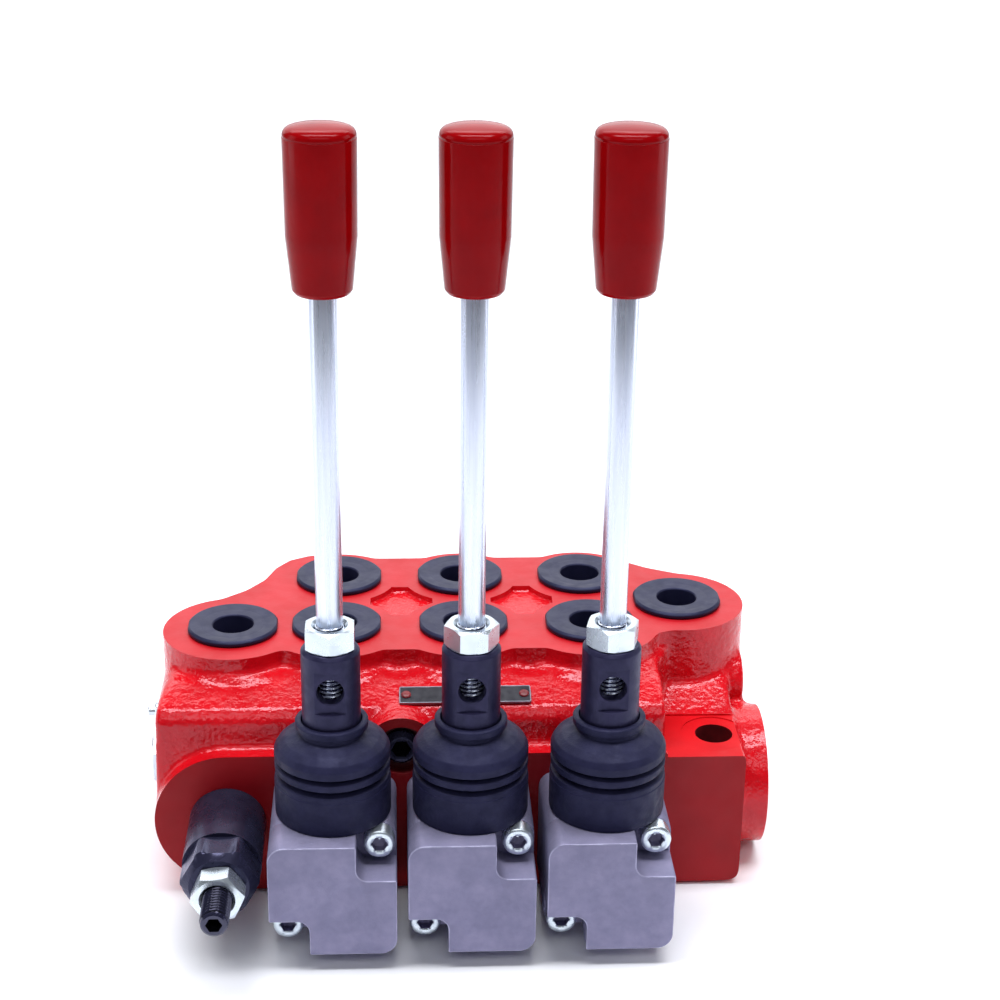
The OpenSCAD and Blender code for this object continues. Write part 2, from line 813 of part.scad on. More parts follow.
module end_cap(x) {
    bore_d = 25;
    stop_d = 20;
    color(cast_alloy)
        translate([x, 0, spool_z])
            difference() {
                union() {
                    translate([0, back_y + cap_flange_t, 0])
                        rotate([90, 0, 0]) linear_extrude(cap_flange_t - 0.02) round_rect(box_w, box_h, 4.5);
                    bar_y(0, back_y + 1, cap_end - 2, 0, cap_barrel_d);
                    translate([0, cap_end - 2.01, 0])
                        rotate([-90, 0, 0]) cylinder(d1 = cap_barrel_d, d2 = cap_barrel_d - 4, h = 2.01);
                }
                bar_y(0, back_y - 1, back_y + pack_len + 0.3, 0, bore_d);
                bar_y(0, back_y, cap_end - 3, 0, stop_d);
                for (s = [-1, 1]) {
                    bar_y(s * screw_off, back_y - 1, back_y + 20, s * screw_off, screw_d + 0.5);
                    bar_y(s * screw_off, back_y + cap_flange_t, back_y + 50, s * screw_off, 10);
                }
            }
}

valve_body();
name_plate();
name_plate_rivets();
port_plugs();
side_port_plug();
side_plugs();
gallery_plug();
relief_cartridge();
relief_jam_nut();
relief_screw();
relief_spring_seat();
relief_spring();
relief_poppet();
check_plug();
check_poppet();
check_spring();
box_screws();
end_cap_screws();
spool_seals();
lever_box(-pitch);  // lever_box_1
lever_box(0);  // lever_box_2
lever_box(pitch);  // lever_box_3
pivot_pin(-pitch);  // pivot_pin_1
pivot_pin(0);  // pivot_pin_2
pivot_pin(pitch);  // pivot_pin_3
lever_socket(-pitch);  // lever_socket_1
lever_socket(0);  // lever_socket_2
lever_socket(pitch);  // lever_socket_3
lever_rod(-pitch);  // lever_rod_1
lever_rod(0);  // lever_rod_2
lever_rod(pitch);  // lever_rod_3
lever_nut(-pitch, 30);  // lever_nut_1
lever_nut(0, 15);  // lever_nut_2
lever_nut(pitch, 15);  // lever_nut_3
knob(-pitch);  // knob_1
knob(0);  // knob_2
knob(pitch);  // knob_3
boot(-pitch);  // boot_1
boot(0);  // boot_2
boot(pitch);  // boot_3
spool(-pitch);  // spool_1
spool(0);  // spool_2
spool(pitch);  // spool_3
centering_spring(-pitch);  // centering_spring_1
centering_spring(0);  // centering_spring_2
centering_spring(pitch);  // centering_spring_3
spring_seat_inner(-pitch);  // spring_seat_inner_1
spring_seat_inner(0);  // spring_seat_inner_2
spring_seat_inner(pitch);  // spring_seat_inner_3
spring_seat_outer(-pitch);  // spring_seat_outer_1
spring_seat_outer(0);  // spring_seat_outer_2
spring_seat_outer(pitch);  // spring_seat_outer_3
end_cap(-pitch);  // end_cap_1
end_cap(0);  // end_cap_2
end_cap(pitch);  // end_cap_3
spool_bolt(-pitch);  // spool_bolt_1
spool_bolt(0);  // spool_bolt_2
spool_bolt(pitch);  // spool_bolt_3
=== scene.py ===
"""Looks of the three-section hydraulic monoblock valve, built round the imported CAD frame.

Shapes are in millimetres until a mesh is made. Lights, materials and finished meshes are in metres.
The frame is the CAD's: origin on the base plane under the middle A port, +X to the outlet, +Y to
the end caps, +Z up."""

import math

import bmesh
import bpy
from mathutils import Matrix, Vector


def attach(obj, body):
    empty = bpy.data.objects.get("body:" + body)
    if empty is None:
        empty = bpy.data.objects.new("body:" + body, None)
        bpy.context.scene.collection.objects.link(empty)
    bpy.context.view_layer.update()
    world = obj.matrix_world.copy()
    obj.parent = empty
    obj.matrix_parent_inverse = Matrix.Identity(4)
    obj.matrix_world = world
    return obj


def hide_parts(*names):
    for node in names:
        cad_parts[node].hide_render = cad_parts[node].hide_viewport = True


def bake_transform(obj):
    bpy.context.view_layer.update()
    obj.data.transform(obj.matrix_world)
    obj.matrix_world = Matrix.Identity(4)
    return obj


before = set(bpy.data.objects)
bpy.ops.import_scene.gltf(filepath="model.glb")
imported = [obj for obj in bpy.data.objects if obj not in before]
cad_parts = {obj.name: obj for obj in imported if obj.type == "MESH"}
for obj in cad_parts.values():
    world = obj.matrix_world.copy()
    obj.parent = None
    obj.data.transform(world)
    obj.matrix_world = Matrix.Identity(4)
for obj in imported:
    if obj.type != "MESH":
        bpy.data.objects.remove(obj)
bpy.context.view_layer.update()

MM = 0.001
X_AXIS, Y_AXIS, Z_AXIS = (1, 0, 0), (0, 1, 0), (0, 0, 1)
TO_FRONT, TO_LEFT = (0, -1, 0), (-1, 0, 0)
CLEAR = 0.02  # gap left between pieces that bear on each other

# The three sections, with their levers and spools
SECTIONS = (1, 2, 3)
PITCH = 38
LANES = (-PITCH, 0, PITCH)
LEVER_Y = -59
SPOOL_Z = 22
ROW_GAP = 34  # from the A ports back to the B ports
BOX_HALF_WIDTH, BOX_HALF_HEIGHT, BOX_CORNER = 17.5, 17, 4.5
BOX_STEP = 26  # from the housing to the face that the upper box screw bears on
BOX_TOP = 39
SOCKET_TOP = 89
KNOB_TOP = 230
KNOB_LEN = 42.5
NUT_TURNS = (30, 4, 15)  # degrees that each lever nut is turned by
NUT_FLATS, NUT_HEIGHT = 13.0, 6.5
ROD_THREAD_R = 3.98
M8_PITCH = 1.25
CAP_FLANGE = 8

# The housing's machined faces
FRONT_Y = -41
BACK_Y = 75
DECK_Z = 66
LEFT_X = -90.5
RIGHT_X = 89.3
EAR_Z = 43
SHOULDER_Z = 60.7  # top of the wider rings round the ports, below the deck

# Centres: (x, y) on the deck and below, (x, z) at the front, (y, z) at the two ends
INLET = (-68.8, -0.7)
OUTLET = (66.4, 15)
MOUNTS = ((73, -27), (73, 57), (-73, 57))
RELIEF = (-69, 24)
GALLERY_PLUG = (-19, 46.3)
SIDE_PORT = (-13, 21.4)
GAUGE_PORT = (INLET[1], 23.4)
LEFT_DRILLING = (-20, 49)
RIGHT_DRILLING = (20, 34)
PORT_BORE = 9.3
RELIEF_PAD = 21
BARREL_LEN = 34  # the relief cartridge, from the front face on
SCREW_OFF = 12.75  # from a spool to its two screws, along x and z
SCREW_HEAD = 5

# The bore paint is painted shade inside the bores.
HOUSING_PAINTS = ("cast_paint", "milled_paint", "bore_painted_shade", "front_painted_shade", "ear_paint")
CAST, MILLED, BORE, FACE, EAR = range(len(HOUSING_PAINTS))

CAMERA_TURN = (3.29, 22.55, 0.84)  # yaw, pitch and roll in degrees
CAMERA_TARGET = (10.48, 0, 106.51)
CAMERA_DISTANCE = 0.58671  # metres
AMBIENT = 0.10
FLOOR_GAP = 0.0002  # metres between the floor and the base plane
NEAR_WHITE, COOL_WHITE, SIDE_WHITE = (0.97, 0.98, 1.0), (0.95, 0.97, 1.0), (0.94, 0.96, 1.0)


# ---------------------------------------------------------------- camera, floor, light


def make_camera():
    """The photograph's camera: a long lens, a little above the levers."""
    yaw, pitch, roll = (math.radians(angle) for angle in CAMERA_TURN)
    level_ahead = math.cos(pitch)
    ahead = Vector((math.sin(yaw) * level_ahead, math.cos(yaw) * level_ahead, -math.sin(pitch)))
    level = Vector((math.cos(yaw), -math.sin(yaw), 0))
    up = level.cross(ahead)
    side = level * math.cos(roll) + up * math.sin(roll)
    top = up * math.cos(roll) - level * math.sin(roll)
    eye = Vector(CAMERA_TARGET) * MM - ahead * CAMERA_DISTANCE
    data = bpy.data.cameras.new("camera")
    data.lens = 72
    data.sensor_width = 36
    data.clip_start = 0.01
    camera = bpy.data.objects.new("camera", data)
    bpy.context.scene.collection.objects.link(camera)
    turn = Matrix((side, top, -ahead)).transposed().to_4x4()
    camera.matrix_world = Matrix.Translation(eye) @ turn
    bpy.context.scene.camera = camera


def soft_light(name, place, target, size, power, tint):
    """A rectangular lamp at place that faces target."""
    data = bpy.data.lights.new(name, "AREA")
    data.shape = "RECTANGLE"
    data.size, data.size_y = size
    data.energy = power
    data.color = tint
    light = bpy.data.objects.new(name, data)
    bpy.context.scene.collection.objects.link(light)
    light.location = place
    light.rotation_euler = (Vector(target) - Vector(place)).to_track_quat("-Z", "Y").to_euler()


def studio():
    """A dim sky, a strip above for the edges, a wide backdrop for the deck, and fill lights."""
    world = bpy.data.worlds.new("studio")
    bpy.context.scene.world = world
    world.use_nodes = True
    sky = world.node_tree.nodes["Background"]
    sky.inputs["Color"].default_value = (0.86, 0.90, 1.0, 1)
    sky.inputs["Strength"].default_value = AMBIENT
    soft_light("overhead", (0, -0.1, 1.5), (0, 0.05, 0), (1.6, 0.45), 31, NEAR_WHITE)
    soft_light("backdrop", (0, 3.2, 1.5), (0, 0, 0.2), (7, 2.6), 80, COOL_WHITE)
    soft_light("floor_wash", (0, 2.2, 2.4), (0, 2.0, 0), (4, 1.2), 45, NEAR_WHITE)
    soft_light("front_wash", (0, -1.3, 1.4), (0, -0.35, 0), (1.6, 0.5), 7, NEAR_WHITE)
    soft_light("left_box", (-1.1, 0.0, 0.35), (0, 0, 0.12), (0.5, 0.9), 2.2, SIDE_WHITE)
    soft_light("right_box", (1.1, 0.1, 0.35), (0, 0, 0.12), (0.5, 0.9), 2.4, SIDE_WHITE)
    bpy.context.scene.view_settings.view_transform = "Standard"


def make_floor():
    """A white floor, ten metres square."""
    bm = bmesh.new()
    bmesh.ops.create_grid(bm, x_segments=8, y_segments=8, size=5)
    mesh = bpy.data.meshes.new("floor")
    bm.to_mesh(mesh)
    floor = bpy.data.objects.new("floor", mesh)
    bpy.context.scene.collection.objects.link(floor)
    floor.location = (0, 0, -FLOOR_GAP)
    paint = Finish("floor", (0.93, 0.94, 0.97), 0.5)
    paint.mottle((0.91, 0.92, 0.96), 40)
    paint.rough(0.40, 0.55, 25)
    mesh.materials.append(paint.material)


# ---------------------------------------------------------------- materials


class Finish:
    """A Principled material whose colour, roughness and relief come from noise in object space."""

    def __init__(self, name, colour, roughness, metallic=0.0, specular=0.5, tint=(1, 1, 1)):
        self.material = bpy.data.materials.new(name)
        self.material.use_nodes = True
        self.tree = self.material.node_tree
        self.shader = self.tree.nodes["Principled BSDF"]
        self.colour = colour
        values = {
            "Base Color": (*colour, 1),
            "Roughness": roughness,
            "Metallic": metallic,
            "Specular IOR Level": specular,
            "Specular Tint": (*tint, 1),
        }
        for socket, value in values.items():
            self.shader.inputs[socket].default_value = value
        self.height = None

    def node(self, kind, **values):
        """A new node; each value goes to the node's setting or input of that name."""
        made = self.tree.nodes.new(kind)
        for key, value in values.items():
            if hasattr(made, key):
                setattr(made, key, value)
            else:
                made.inputs[key.replace("_", " ")].default_value = value
        return made

    def noise(self, per_metre, stretch=(1, 1, 1), detail=3, offset=0.0):
        """Noise with per_metre spots to a metre. offset keeps two noises from lining up."""
        place = self.node("ShaderNodeTexCoord")
        fit = self.node("ShaderNodeMapping", Scale=stretch, Location=(offset, offset, offset))
        pattern = self.node("ShaderNodeTexNoise", Scale=per_metre, Detail=detail)
        self.tree.links.new(place.outputs["Object"], fit.inputs["Vector"])
        self.tree.links.new(fit.outputs["Vector"], pattern.inputs["Vector"])
        return pattern.outputs["Fac"]

    def ramp(self, source, low, high, start=0.35, stop=0.65):
        """Maps source from start..stop to low..high."""
        fit = self.node("ShaderNodeMapRange")
        span = {"From Min": start, "From Max": stop, "To Min": low, "To Max": high}
        for key, value in span.items():
            fit.inputs[key].default_value = value
        self.tree.links.new(source, fit.inputs["Value"])
        return fit.outputs["Result"]

    def mottle(self, other, per_metre, stretch=(1, 1, 1), detail=3):
        """Blends the colour with another one in soft spots."""
        share = self.ramp(self.noise(per_metre, stretch, detail), 0, 1)
        mix = self.node("ShaderNodeMix", data_type="RGBA")
        first, second = [socket for socket in mix.inputs if socket.type == "RGBA"]
        first.default_value = (*self.colour, 1)
        second.default_value = (*other, 1)
        self.tree.links.new(share, mix.inputs["Factor"])
        result = [socket for socket in mix.outputs if socket.type == "RGBA"][0]
        self.tree.links.new(result, self.shader.inputs["Base Color"])

    def rough(self, low, high, per_metre, stretch=(1, 1, 1)):
        """Varies the roughness between low and high."""
        fit = self.ramp(self.noise(per_metre, stretch, 4, 3.1), low, high)
        self.tree.links.new(fit, self.shader.inputs["Roughness"])

    def relief(self, per_metre, depth, strength, stretch=(1, 1, 1)):
        """Adds bumps of depth metres to those that are there."""
        bump = self.node("ShaderNodeBump", Strength=strength, Distance=depth)
        self.tree.links.new(self.noise(per_metre, stretch, 2, 7.7), bump.inputs["Height"])
        if self.height is not None:
            self.tree.links.new(self.height.outputs["Normal"], bump.inputs["Normal"])
        self.height = bump
        self.tree.links.new(bump.outputs["Normal"], self.shader.inputs["Normal"])


def cast_paint():
    """Glossy red enamel over rough cast iron."""
    cast = Finish("cast_paint", (0.62, 0.004, 0.010), 0.2, specular=0.42, tint=(1, 0.85, 0.95))
    cast.mottle((0.52, 0.003, 0.008), 90)
    cast.rough(0.12, 0.26, 300)
    cast.relief(160, 0.0007, 0.35)
    cast.relief(620, 0.0005, 0.6)
    return cast


def milled_paint():
    """Thinner, duller enamel on the machined deck and sides."""
    milled = Finish("milled_paint", (0.50, 0.008, 0.016), 0.46, specular=0.3)
    milled.mottle((0.44, 0.005, 0.010), 60)
    milled.rough(0.36, 0.48, 200)
    milled.relief(900, 0.00006, 0.5)
    return milled


def front_painted_shade():
    """Duller enamel on the front and back faces, darker than the deck's as painted shade."""
    front = Finish("front_painted_shade", (0.36, 0.004, 0.009), 0.5, specular=0.22)
    front.mottle((0.30, 0.003, 0.007), 60)
    front.rough(0.42, 0.54, 200)
    front.relief(900, 0.00006, 0.5)
    return front


def ear_paint():
    """Dull enamel on the bolting ears."""
    ear = Finish("ear_paint", (0.62, 0.005, 0.010), 0.5, specular=0.12)
    ear.mottle((0.54, 0.004, 0.008), 90)
    ear.rough(0.42, 0.54, 200)
    ear.relief(500, 0.0001, 0.4)
    return ear


def bore_painted_shade():
    """Painted shade: a dark red for the inside of the bores, where shade falls."""
    bore = Finish("bore_painted_shade", (0.16, 0.006, 0.009), 0.45)
    bore.mottle((0.08, 0.004, 0.006), 200)
    return bore


def knob_plastic():
    """Polished dark red moulded plastic."""
    knob = Finish("knob_plastic", (0.27, 0.0008, 0.002), 0.14, specular=0.12, tint=(1, 0.7, 0.8))
    knob.mottle((0.235, 0.0008, 0.002), 120)
    knob.rough(0.10, 0.17, 150)
    knob.relief(220, 0.0002, 0.2)
    return knob


def boot_rubber():
    """Matt blue-black moulded rubber."""
    rubber = Finish("boot_rubber", (0.009, 0.009, 0.030), 0.5, specular=0.3, tint=(0.6, 0.62, 1))
    rubber.mottle((0.014, 0.014, 0.042), 220)
    rubber.rough(0.48, 0.66, 350)
    rubber.relief(1400, 0.00012, 0.5)
    return rubber


def plug_plastic():
    """Satin black moulded plastic."""
    plug = Finish("plug_plastic", (0.008, 0.008, 0.026), 0.42, specular=0.4, tint=(0.55, 0.6, 1))
    plug.mottle((0.012, 0.012, 0.036), 150)
    plug.rough(0.36, 0.50, 260)
    plug.relief(500, 0.00010, 0.4)
    return plug


def socket_black():
    """Black oxide on turned steel."""
    oxide = Finish(
        "socket_black",
        (0.013, 0.012, 0.036),
        0.40,
        metallic=0.2,
        specular=0.4,
        tint=(0.62, 0.62, 1),
    )
    oxide.mottle((0.021, 0.019, 0.052), 260)
    oxide.rough(0.34, 0.50, 420)
    oxide.relief(1800, 0.00006, 0.5)
    return oxide


def black_steel():
    """Blackened steel, a little glossier."""
    steel = Finish("black_steel", (0.016, 0.016, 0.036), 0.34, metallic=0.3, tint=(0.65, 0.65, 1))
    steel.mottle((0.024, 0.024, 0.050), 200)
    steel.rough(0.22, 0.34, 200)
    steel.relief(300, 0.00003, 0.3)
    return steel


def screw_black():
    """Oily black thread, glossy enough for its crests to shine."""
    thread = Finish("screw_black", (0.008, 0.008, 0.020), 0.15, specular=0.9, tint=(0.7, 0.7, 1))
    thread.mottle((0.014, 0.014, 0.032), 400)
    thread.rough(0.12, 0.20, 300)
    return thread


def zinc():
    """Bright zinc plating."""
    zinc = Finish("zinc", (0.72, 0.80, 0.86), 0.26, metallic=0.88)
    zinc.mottle((0.63, 0.70, 0.78), 160)
    zinc.rough(0.24, 0.34, 200)
    zinc.relief(500, 0.00002, 0.2)
    return zinc


def rod_zinc():
    """Zinc plating with the fine lines of drawn bar."""
    rod = Finish("rod_zinc", (0.74, 0.79, 0.91), 0.30, metallic=0.8)
    rod.mottle((0.64, 0.69, 0.83), 700, stretch=(1, 1, 0.03))
    rod.rough(0.24, 0.32, 900, stretch=(1, 1, 0.03))
    rod.relief(700, 0.00005, 0.2, stretch=(1, 1, 0.03))
    return rod


def cast_alloy():
    """Bead-blasted cast aluminium."""
    alloy = Finish("cast_alloy", (0.205, 0.197, 0.305), 0.55, metallic=0.5, tint=(0.75, 0.75, 1))
    alloy.mottle((0.255, 0.242, 0.365), 130, detail=6)
    alloy.rough(0.46, 0.62, 500)
    alloy.relief(2600, 0.00012, 0.55)
    return alloy


def alloy_edge_polish_and_highlight():
    """Polished aluminium along an edge; its brighter colour is partly a painted highlight."""
    edge = Finish("alloy_edge_polish_and_highlight", (0.40, 0.39, 0.55), 0.42, metallic=0.6)
    edge.mottle((0.26, 0.25, 0.38), 200)
    edge.rough(0.36, 0.48, 300)
    return edge


def plate_black():
    """The black field of the name plate."""
    plate = Finish("plate_black", (0.020, 0.020, 0.028), 0.35, metallic=0.4)
    plate.mottle((0.032, 0.032, 0.042), 300)
    plate.rough(0.28, 0.42, 500)
    return plate


def plate_rim():
    """The bare edge of the name plate."""
    rim = Finish("plate_rim", (0.34, 0.34, 0.40), 0.35, metallic=0.8)
    rim.mottle((0.24, 0.24, 0.30), 500)
    return rim


def rivet_red():
    """Red paint on the rivet heads."""
    rivet = Finish("rivet_red", (0.20, 0.004, 0.010), 0.40)
    rivet.mottle((0.13, 0.003, 0.008), 600)
    rivet.relief(900, 0.0001, 0.4)
    return rivet


def recess_painted_shade():
    """Painted shade: near-black for the inside of hexagon sockets and thread grooves."""
    recess = Finish("recess_painted_shade", (0.002, 0.002, 0.004), 0.6, specular=0.1)
    recess.mottle((0.004, 0.004, 0.008), 300)
    return recess


def ground_steel():
    """Ground and polished steel."""
    ground = Finish("ground_steel", (0.60, 0.61, 0.64), 0.20, metallic=1.0)
    ground.mottle((0.54, 0.55, 0.58), 300)
    ground.rough(0.14, 0.26, 900, stretch=(1, 0.05, 1))
    return ground


def spring_steel():
    """Spring wire."""
    spring = Finish("spring_steel", (0.34, 0.34, 0.37), 0.32, metallic=1.0)
    spring.mottle((0.26, 0.26, 0.29), 500)
    spring.rough(0.26, 0.40, 800)
    return spring


def seal_rubber():
    """Nitrile rubber rings."""
    seal = Finish("seal_rubber", (0.015, 0.015, 0.017), 0.5)
    seal.mottle((0.022, 0.022, 0.025), 500)
    seal.relief(1500, 0.00005, 0.4)
    return seal


FINISHES = (
    cast_paint,
    milled_paint,
    front_painted_shade,
    ear_paint,
    bore_painted_shade,
    knob_plastic,
    boot_rubber,
    plug_plastic,
    socket_black,
    black_steel,
    screw_black,
    zinc,
    rod_zinc,
    cast_alloy,
    alloy_edge_polish_and_highlight,
    plate_black,
    plate_rim,
    rivet_red,
    recess_painted_shade,
    ground_steel,
    spring_steel,
    seal_rubber,
)


# ---------------------------------------------------------------- mesh helpers


def rounded(points, closed=False, steps=4):
    """The path with every corner that gives a third number, its radius, turned into an arc."""
    path = []
    last = len(points) - 1
    for i, point in enumerate(points):
        here = Vector(point[:2])
        if len(point) < 3 or (not closed and i in (0, last)):
            path.append(here)
            continue
        back = Vector(points[i - 1][:2]) - here
        on = Vector(points[(i + 1) % (last + 1)][:2]) - here
        half = back.angle(on) / 2
        reach = min(point[2] / math.tan(half), 0.48 * back.length, 0.48 * on.length)
        bisector = (back.normalized() + on.normalized()).normalized()
        centre = here + bisector * reach / math.cos(half)
        start = here + back.normalized() * reach - centre
        stop = here + on.normalized() * reach - centre
        turn = math.atan2(start.x * stop.y - start.y * stop.x, start.dot(stop))
        for k in range(steps + 1):
            path.append(centre + Matrix.Rotation(turn * k / steps, 2) @ start)
    return path


def turned_to(axis, origin=(0, 0, 0)):
    """A matrix that stands a shape drawn along +Z along axis, with its zero at origin."""
    turn = Vector((0, 0, 1)).rotation_difference(Vector(axis)).to_matrix().to_4x4()
    return Matrix.Translation(origin) @ turn


def ring(r, z, steps):
    """A level circle of points about Z."""
    angles = [2 * math.pi * k / steps for k in range(steps)]
    return [(r * math.cos(angle), r * math.sin(angle), z) for angle in angles]


def stepped(outline, levels):
    """The outline at each (inset, height)."""
    return [[(*p, z) for p in inset(outline, distance)] for distance, z in levels]


def stacked(levels):
    """Each (points, height) as a ring."""
    return [[(*p, z) for p in points] for points, z in levels]


class Shape:
    """Closed solids that make up one piece. paint is the material slot of what is added next."""

    def __init__(self):
        self.bm = bmesh.new()
        self.paint = 0

    def loft(self, rings, at=None, wrap=False):
        """Skins a row of closed rings with the same number of points, and closes both ends."""
        at = at or Matrix.Identity(4)
        loops = [[self.bm.verts.new(at @ Vector(p)) for p in ring] for ring in rings]
        faces = []
        pairs = list(zip(loops, loops[1:]))
        if wrap:
            pairs.append((loops[-1], loops[0]))
        count = len(loops[0])
        for a, b in pairs:
            for i in range(count):
                j = (i + 1) % count
                faces.append(self.bm.faces.new((a[i], a[j], b[j], b[i])))
        if not wrap:
            faces.append(self.bm.faces.new(loops[0][::-1]))
            faces.append(self.bm.faces.new(loops[-1]))
        for face in faces:
            face.material_index = self.paint
        bmesh.ops.recalc_face_normals(self.bm, faces=faces)
        return faces

    def turn(self, profile, at=None, steps=96, hollow=False):
        """Turns a profile of (radius, height) about Z. A hollow one is a ring with a hole."""
        return self.loft([ring(r, z, steps) for r, z in profile], at, wrap=hollow)

    def prism(self, outline, low, high, at=None, edge=0.0):
        """Extrudes an outline along Z. edge is the size of the rounding at both ends."""
        levels = [(0, low), (0, high)]
        if edge:
            levels = [(edge, low), (edge * 0.3, low + edge * 0.3), (0, low + edge)]
            levels += [(0, high - edge), (edge * 0.3, high - edge * 0.3), (edge, high)]
        return self.loft(stepped(outline, levels), at)

    def bar(self, axis, start, radius, length, edge=0.3, steps=64):
        """A round bar with rounded ends."""
        profile = [(radius - edge, 0), (radius - edge * 0.3, edge * 0.3), (radius, edge)]
        profile += [(radius, length - edge), (radius - edge * 0.3, length - edge * 0.3)]
        profile += [(radius - edge, length)]
        return self.turn(profile, turned_to(axis, start), steps)

    def thread(self, axis, start, radius, length, pitch, depth=None, steps=48, groove_shade_paint=None):
        """A bar with a helical thread that fades at both ends. Its grooves can get another material
        slot, as painted shade.
        """
        depth = depth or pitch * 0.54
        rows_per_turn = 8
        rows = int(length / pitch * rows_per_turn)
        rings = []
        for row in range(rows + 1):
            z = length * row / rows
            fade = min(1, z / pitch + 0.25, (length - z) / pitch + 0.25)
            points = []
            for k in range(steps):
                wave = abs(((z / pitch - k / steps) % 1) * 2 - 1)
                wave = min(1, max(0, wave * 1.25 - 0.125))
                r = radius - depth * (1 - wave * fade)
                angle = 2 * math.pi * k / steps
                points.append((r * math.cos(angle), r * math.sin(angle), z))
            rings.append(points)
        faces = self.loft(rings, turned_to(axis, start))
        if groove_shade_paint is not None:
            limit = radius - 0.55 * depth
            for row in range(rows):
                for k in range(steps):
                    low, high = (math.hypot(*rings[r][k][:2]) for r in (row, row + 1))
                    if (low + high) / 2 < limit:
                        faces[row * steps + k].material_index = groove_shade_paint
        return faces

    def piece(self, name, materials, body, replaces=(), slot=None, angle=32):
        """Finishes the mesh, and puts the piece on its CAD body."""
        mesh = bpy.data.meshes.new(name)
        self.bm.to_mesh(mesh)
        self.bm.free()
        mesh.transform(Matrix.Scale(MM, 4))
        made = bpy.data.objects.new(name, mesh)
        bpy.context.scene.collection.objects.link(made)
        for material in materials if isinstance(materials, (list, tuple)) else [materials]:
            mesh.materials.append(FINISH[material])
        shade(mesh, angle)
        if body:
            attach(made, body)
        if replaces:
            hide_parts(*([replaces] if isinstance(replaces, str) else replaces))
        return made


def shade(mesh, angle):
    """Smooth shading, sharp where faces meet at more than angle degrees."""
    for polygon in mesh.polygons:
        polygon.use_smooth = True
    mesh.set_sharp_from_angle(angle=math.radians(angle))


def inset(outline, distance):
    """The closed outline moved inwards by distance."""
    if not distance:
        return [tuple(p) for p in outline]
    count = len(outline)
    area = sum(
        outline[i][0] * outline[(i + 1) % count][1] - outline[(i + 1) % count][0] * outline[i][1]
        for i in range(count)
    )
    sign = 1 if area > 0 else -1
    moved = []
    for i, p in enumerate(outline):
        a = (Vector(p) - Vector(outline[i - 1])).normalized()
        b = (Vector(outline[(i + 1) % count]) - Vector(p)).normalized()
        across = Vector((-(a + b).y, (a + b).x)).normalized() * sign
        grow = 1 / max(0.5, Vector((-a.y, a.x)).dot(across) * sign)
        moved.append(tuple(Vector(p) + across * distance * grow))
    return moved


def circle(cx, cy, r, steps=64, start=0.0, sweep=360.0):
    """A circle, or an arc of sweep degrees with both its ends."""
    full = abs(sweep) >= 360
    count = steps if full else steps + 1
    turn = [math.radians(start + sweep * k / steps) for k in range(count)]
    return [Vector((cx + r * math.cos(t), cy + r * math.sin(t))) for t in turn]


def hexagon(across_flats, turn=0.0, steps=8):
    """A hexagon with steps points on each side."""
    r = across_flats / math.sqrt(3)
    angles = [math.radians(60 * k + turn) for k in range(6)]
    corners = [Vector((r * math.cos(angle), r * math.sin(angle))) for angle in angles]
    pairs = zip(corners, corners[1:] + corners[:1])
    return [here.lerp(on, k / steps) for here, on in pairs for k in range(steps)]


def on_circle(points, r):
    """The same directions as points, all at radius r."""
    return [p.normalized() * r for p in points]


def rounded_box(half_width, half_height, corner, steps=4):
    """A rectangle about the origin with round corners."""
    w, h = half_width, half_height
    corners = [(-w, -h, corner), (w, -h, corner), (w, h, corner), (-w, h, corner)]
    return rounded(corners, True, steps)


# Planes that an outline can be drawn in. Heights are then -y in XZ, and x in YZ.
XZ = Matrix(((1, 0, 0, 0), (0, 0, -1, 0), (0, 1, 0, 0), (0, 0, 0, 1)))
YZ = Matrix(((0, 0, 1, 0), (1, 0, 0, 0), (0, 1, 0, 0), (0, 0, 0, 1)))


def raw(shape, name, finishes=()):
    """The shape as a plain working object, in millimetres."""
    mesh = bpy.data.meshes.new(name)
    shape.bm.to_mesh(mesh)
    shape.bm.free()
    for finish in finishes:
        mesh.materials.append(FINISH[finish])
    made = bpy.data.objects.new(name, mesh)
    bpy.context.scene.collection.objects.link(made)
    return made


def raw_prism(name, outline, low, high, at=None):
    shape = Shape()
    shape.prism(outline, low, high, at)
    return raw(shape, name)


def shape_of(solid):
    """The working object's mesh as a shape again. The object is deleted."""
    shape = Shape()
    shape.bm.from_mesh(solid.data)
    bpy.data.objects.remove(solid)
    return shape


def apply_modifiers(target):
    """Swaps the object's mesh for what its modifiers make of it."""
    graph = bpy.context.evaluated_depsgraph_get()
    done = bpy.data.meshes.new_from_object(target.evaluated_get(graph), depsgraph=graph)
    target.modifiers.clear()
    old = target.data
    target.data = done
    bpy.data.meshes.remove(old)


def combine(target, cutters, operation="DIFFERENCE"):
    """Cuts the target with each cutter in turn, or joins them, and deletes the cutters."""
    for cutter in cutters:
        step = target.modifiers.new("cut", "BOOLEAN")
        step.operation = operation
        step.solver = "MANIFOLD"
        step.object = cutter
    bpy.context.view_layer.update()
    apply_modifiers(target)
    for cutter in cutters:
        mesh = cutter.data
        bpy.data.objects.remove(cutter)
        bpy.data.meshes.remove(mesh)


def hollowed(shapes, bores, finishes):
    """Joins the shapes, and cuts round bores of (axis, start, radius, length) in them."""
    solid, *others = [raw(shape, "part", finishes) for shape in shapes]
    cutters = []
    for axis, start, radius, length in bores:
        bore = Shape()
        bore.bar(axis, start, radius, length, 0.2)
        cutters.append(raw(bore, "part", finishes))
    combine(solid, others, "UNION")
    combine(solid, cutters)
    return shape_of(solid)


# ---------------------------------------------------------------- housing


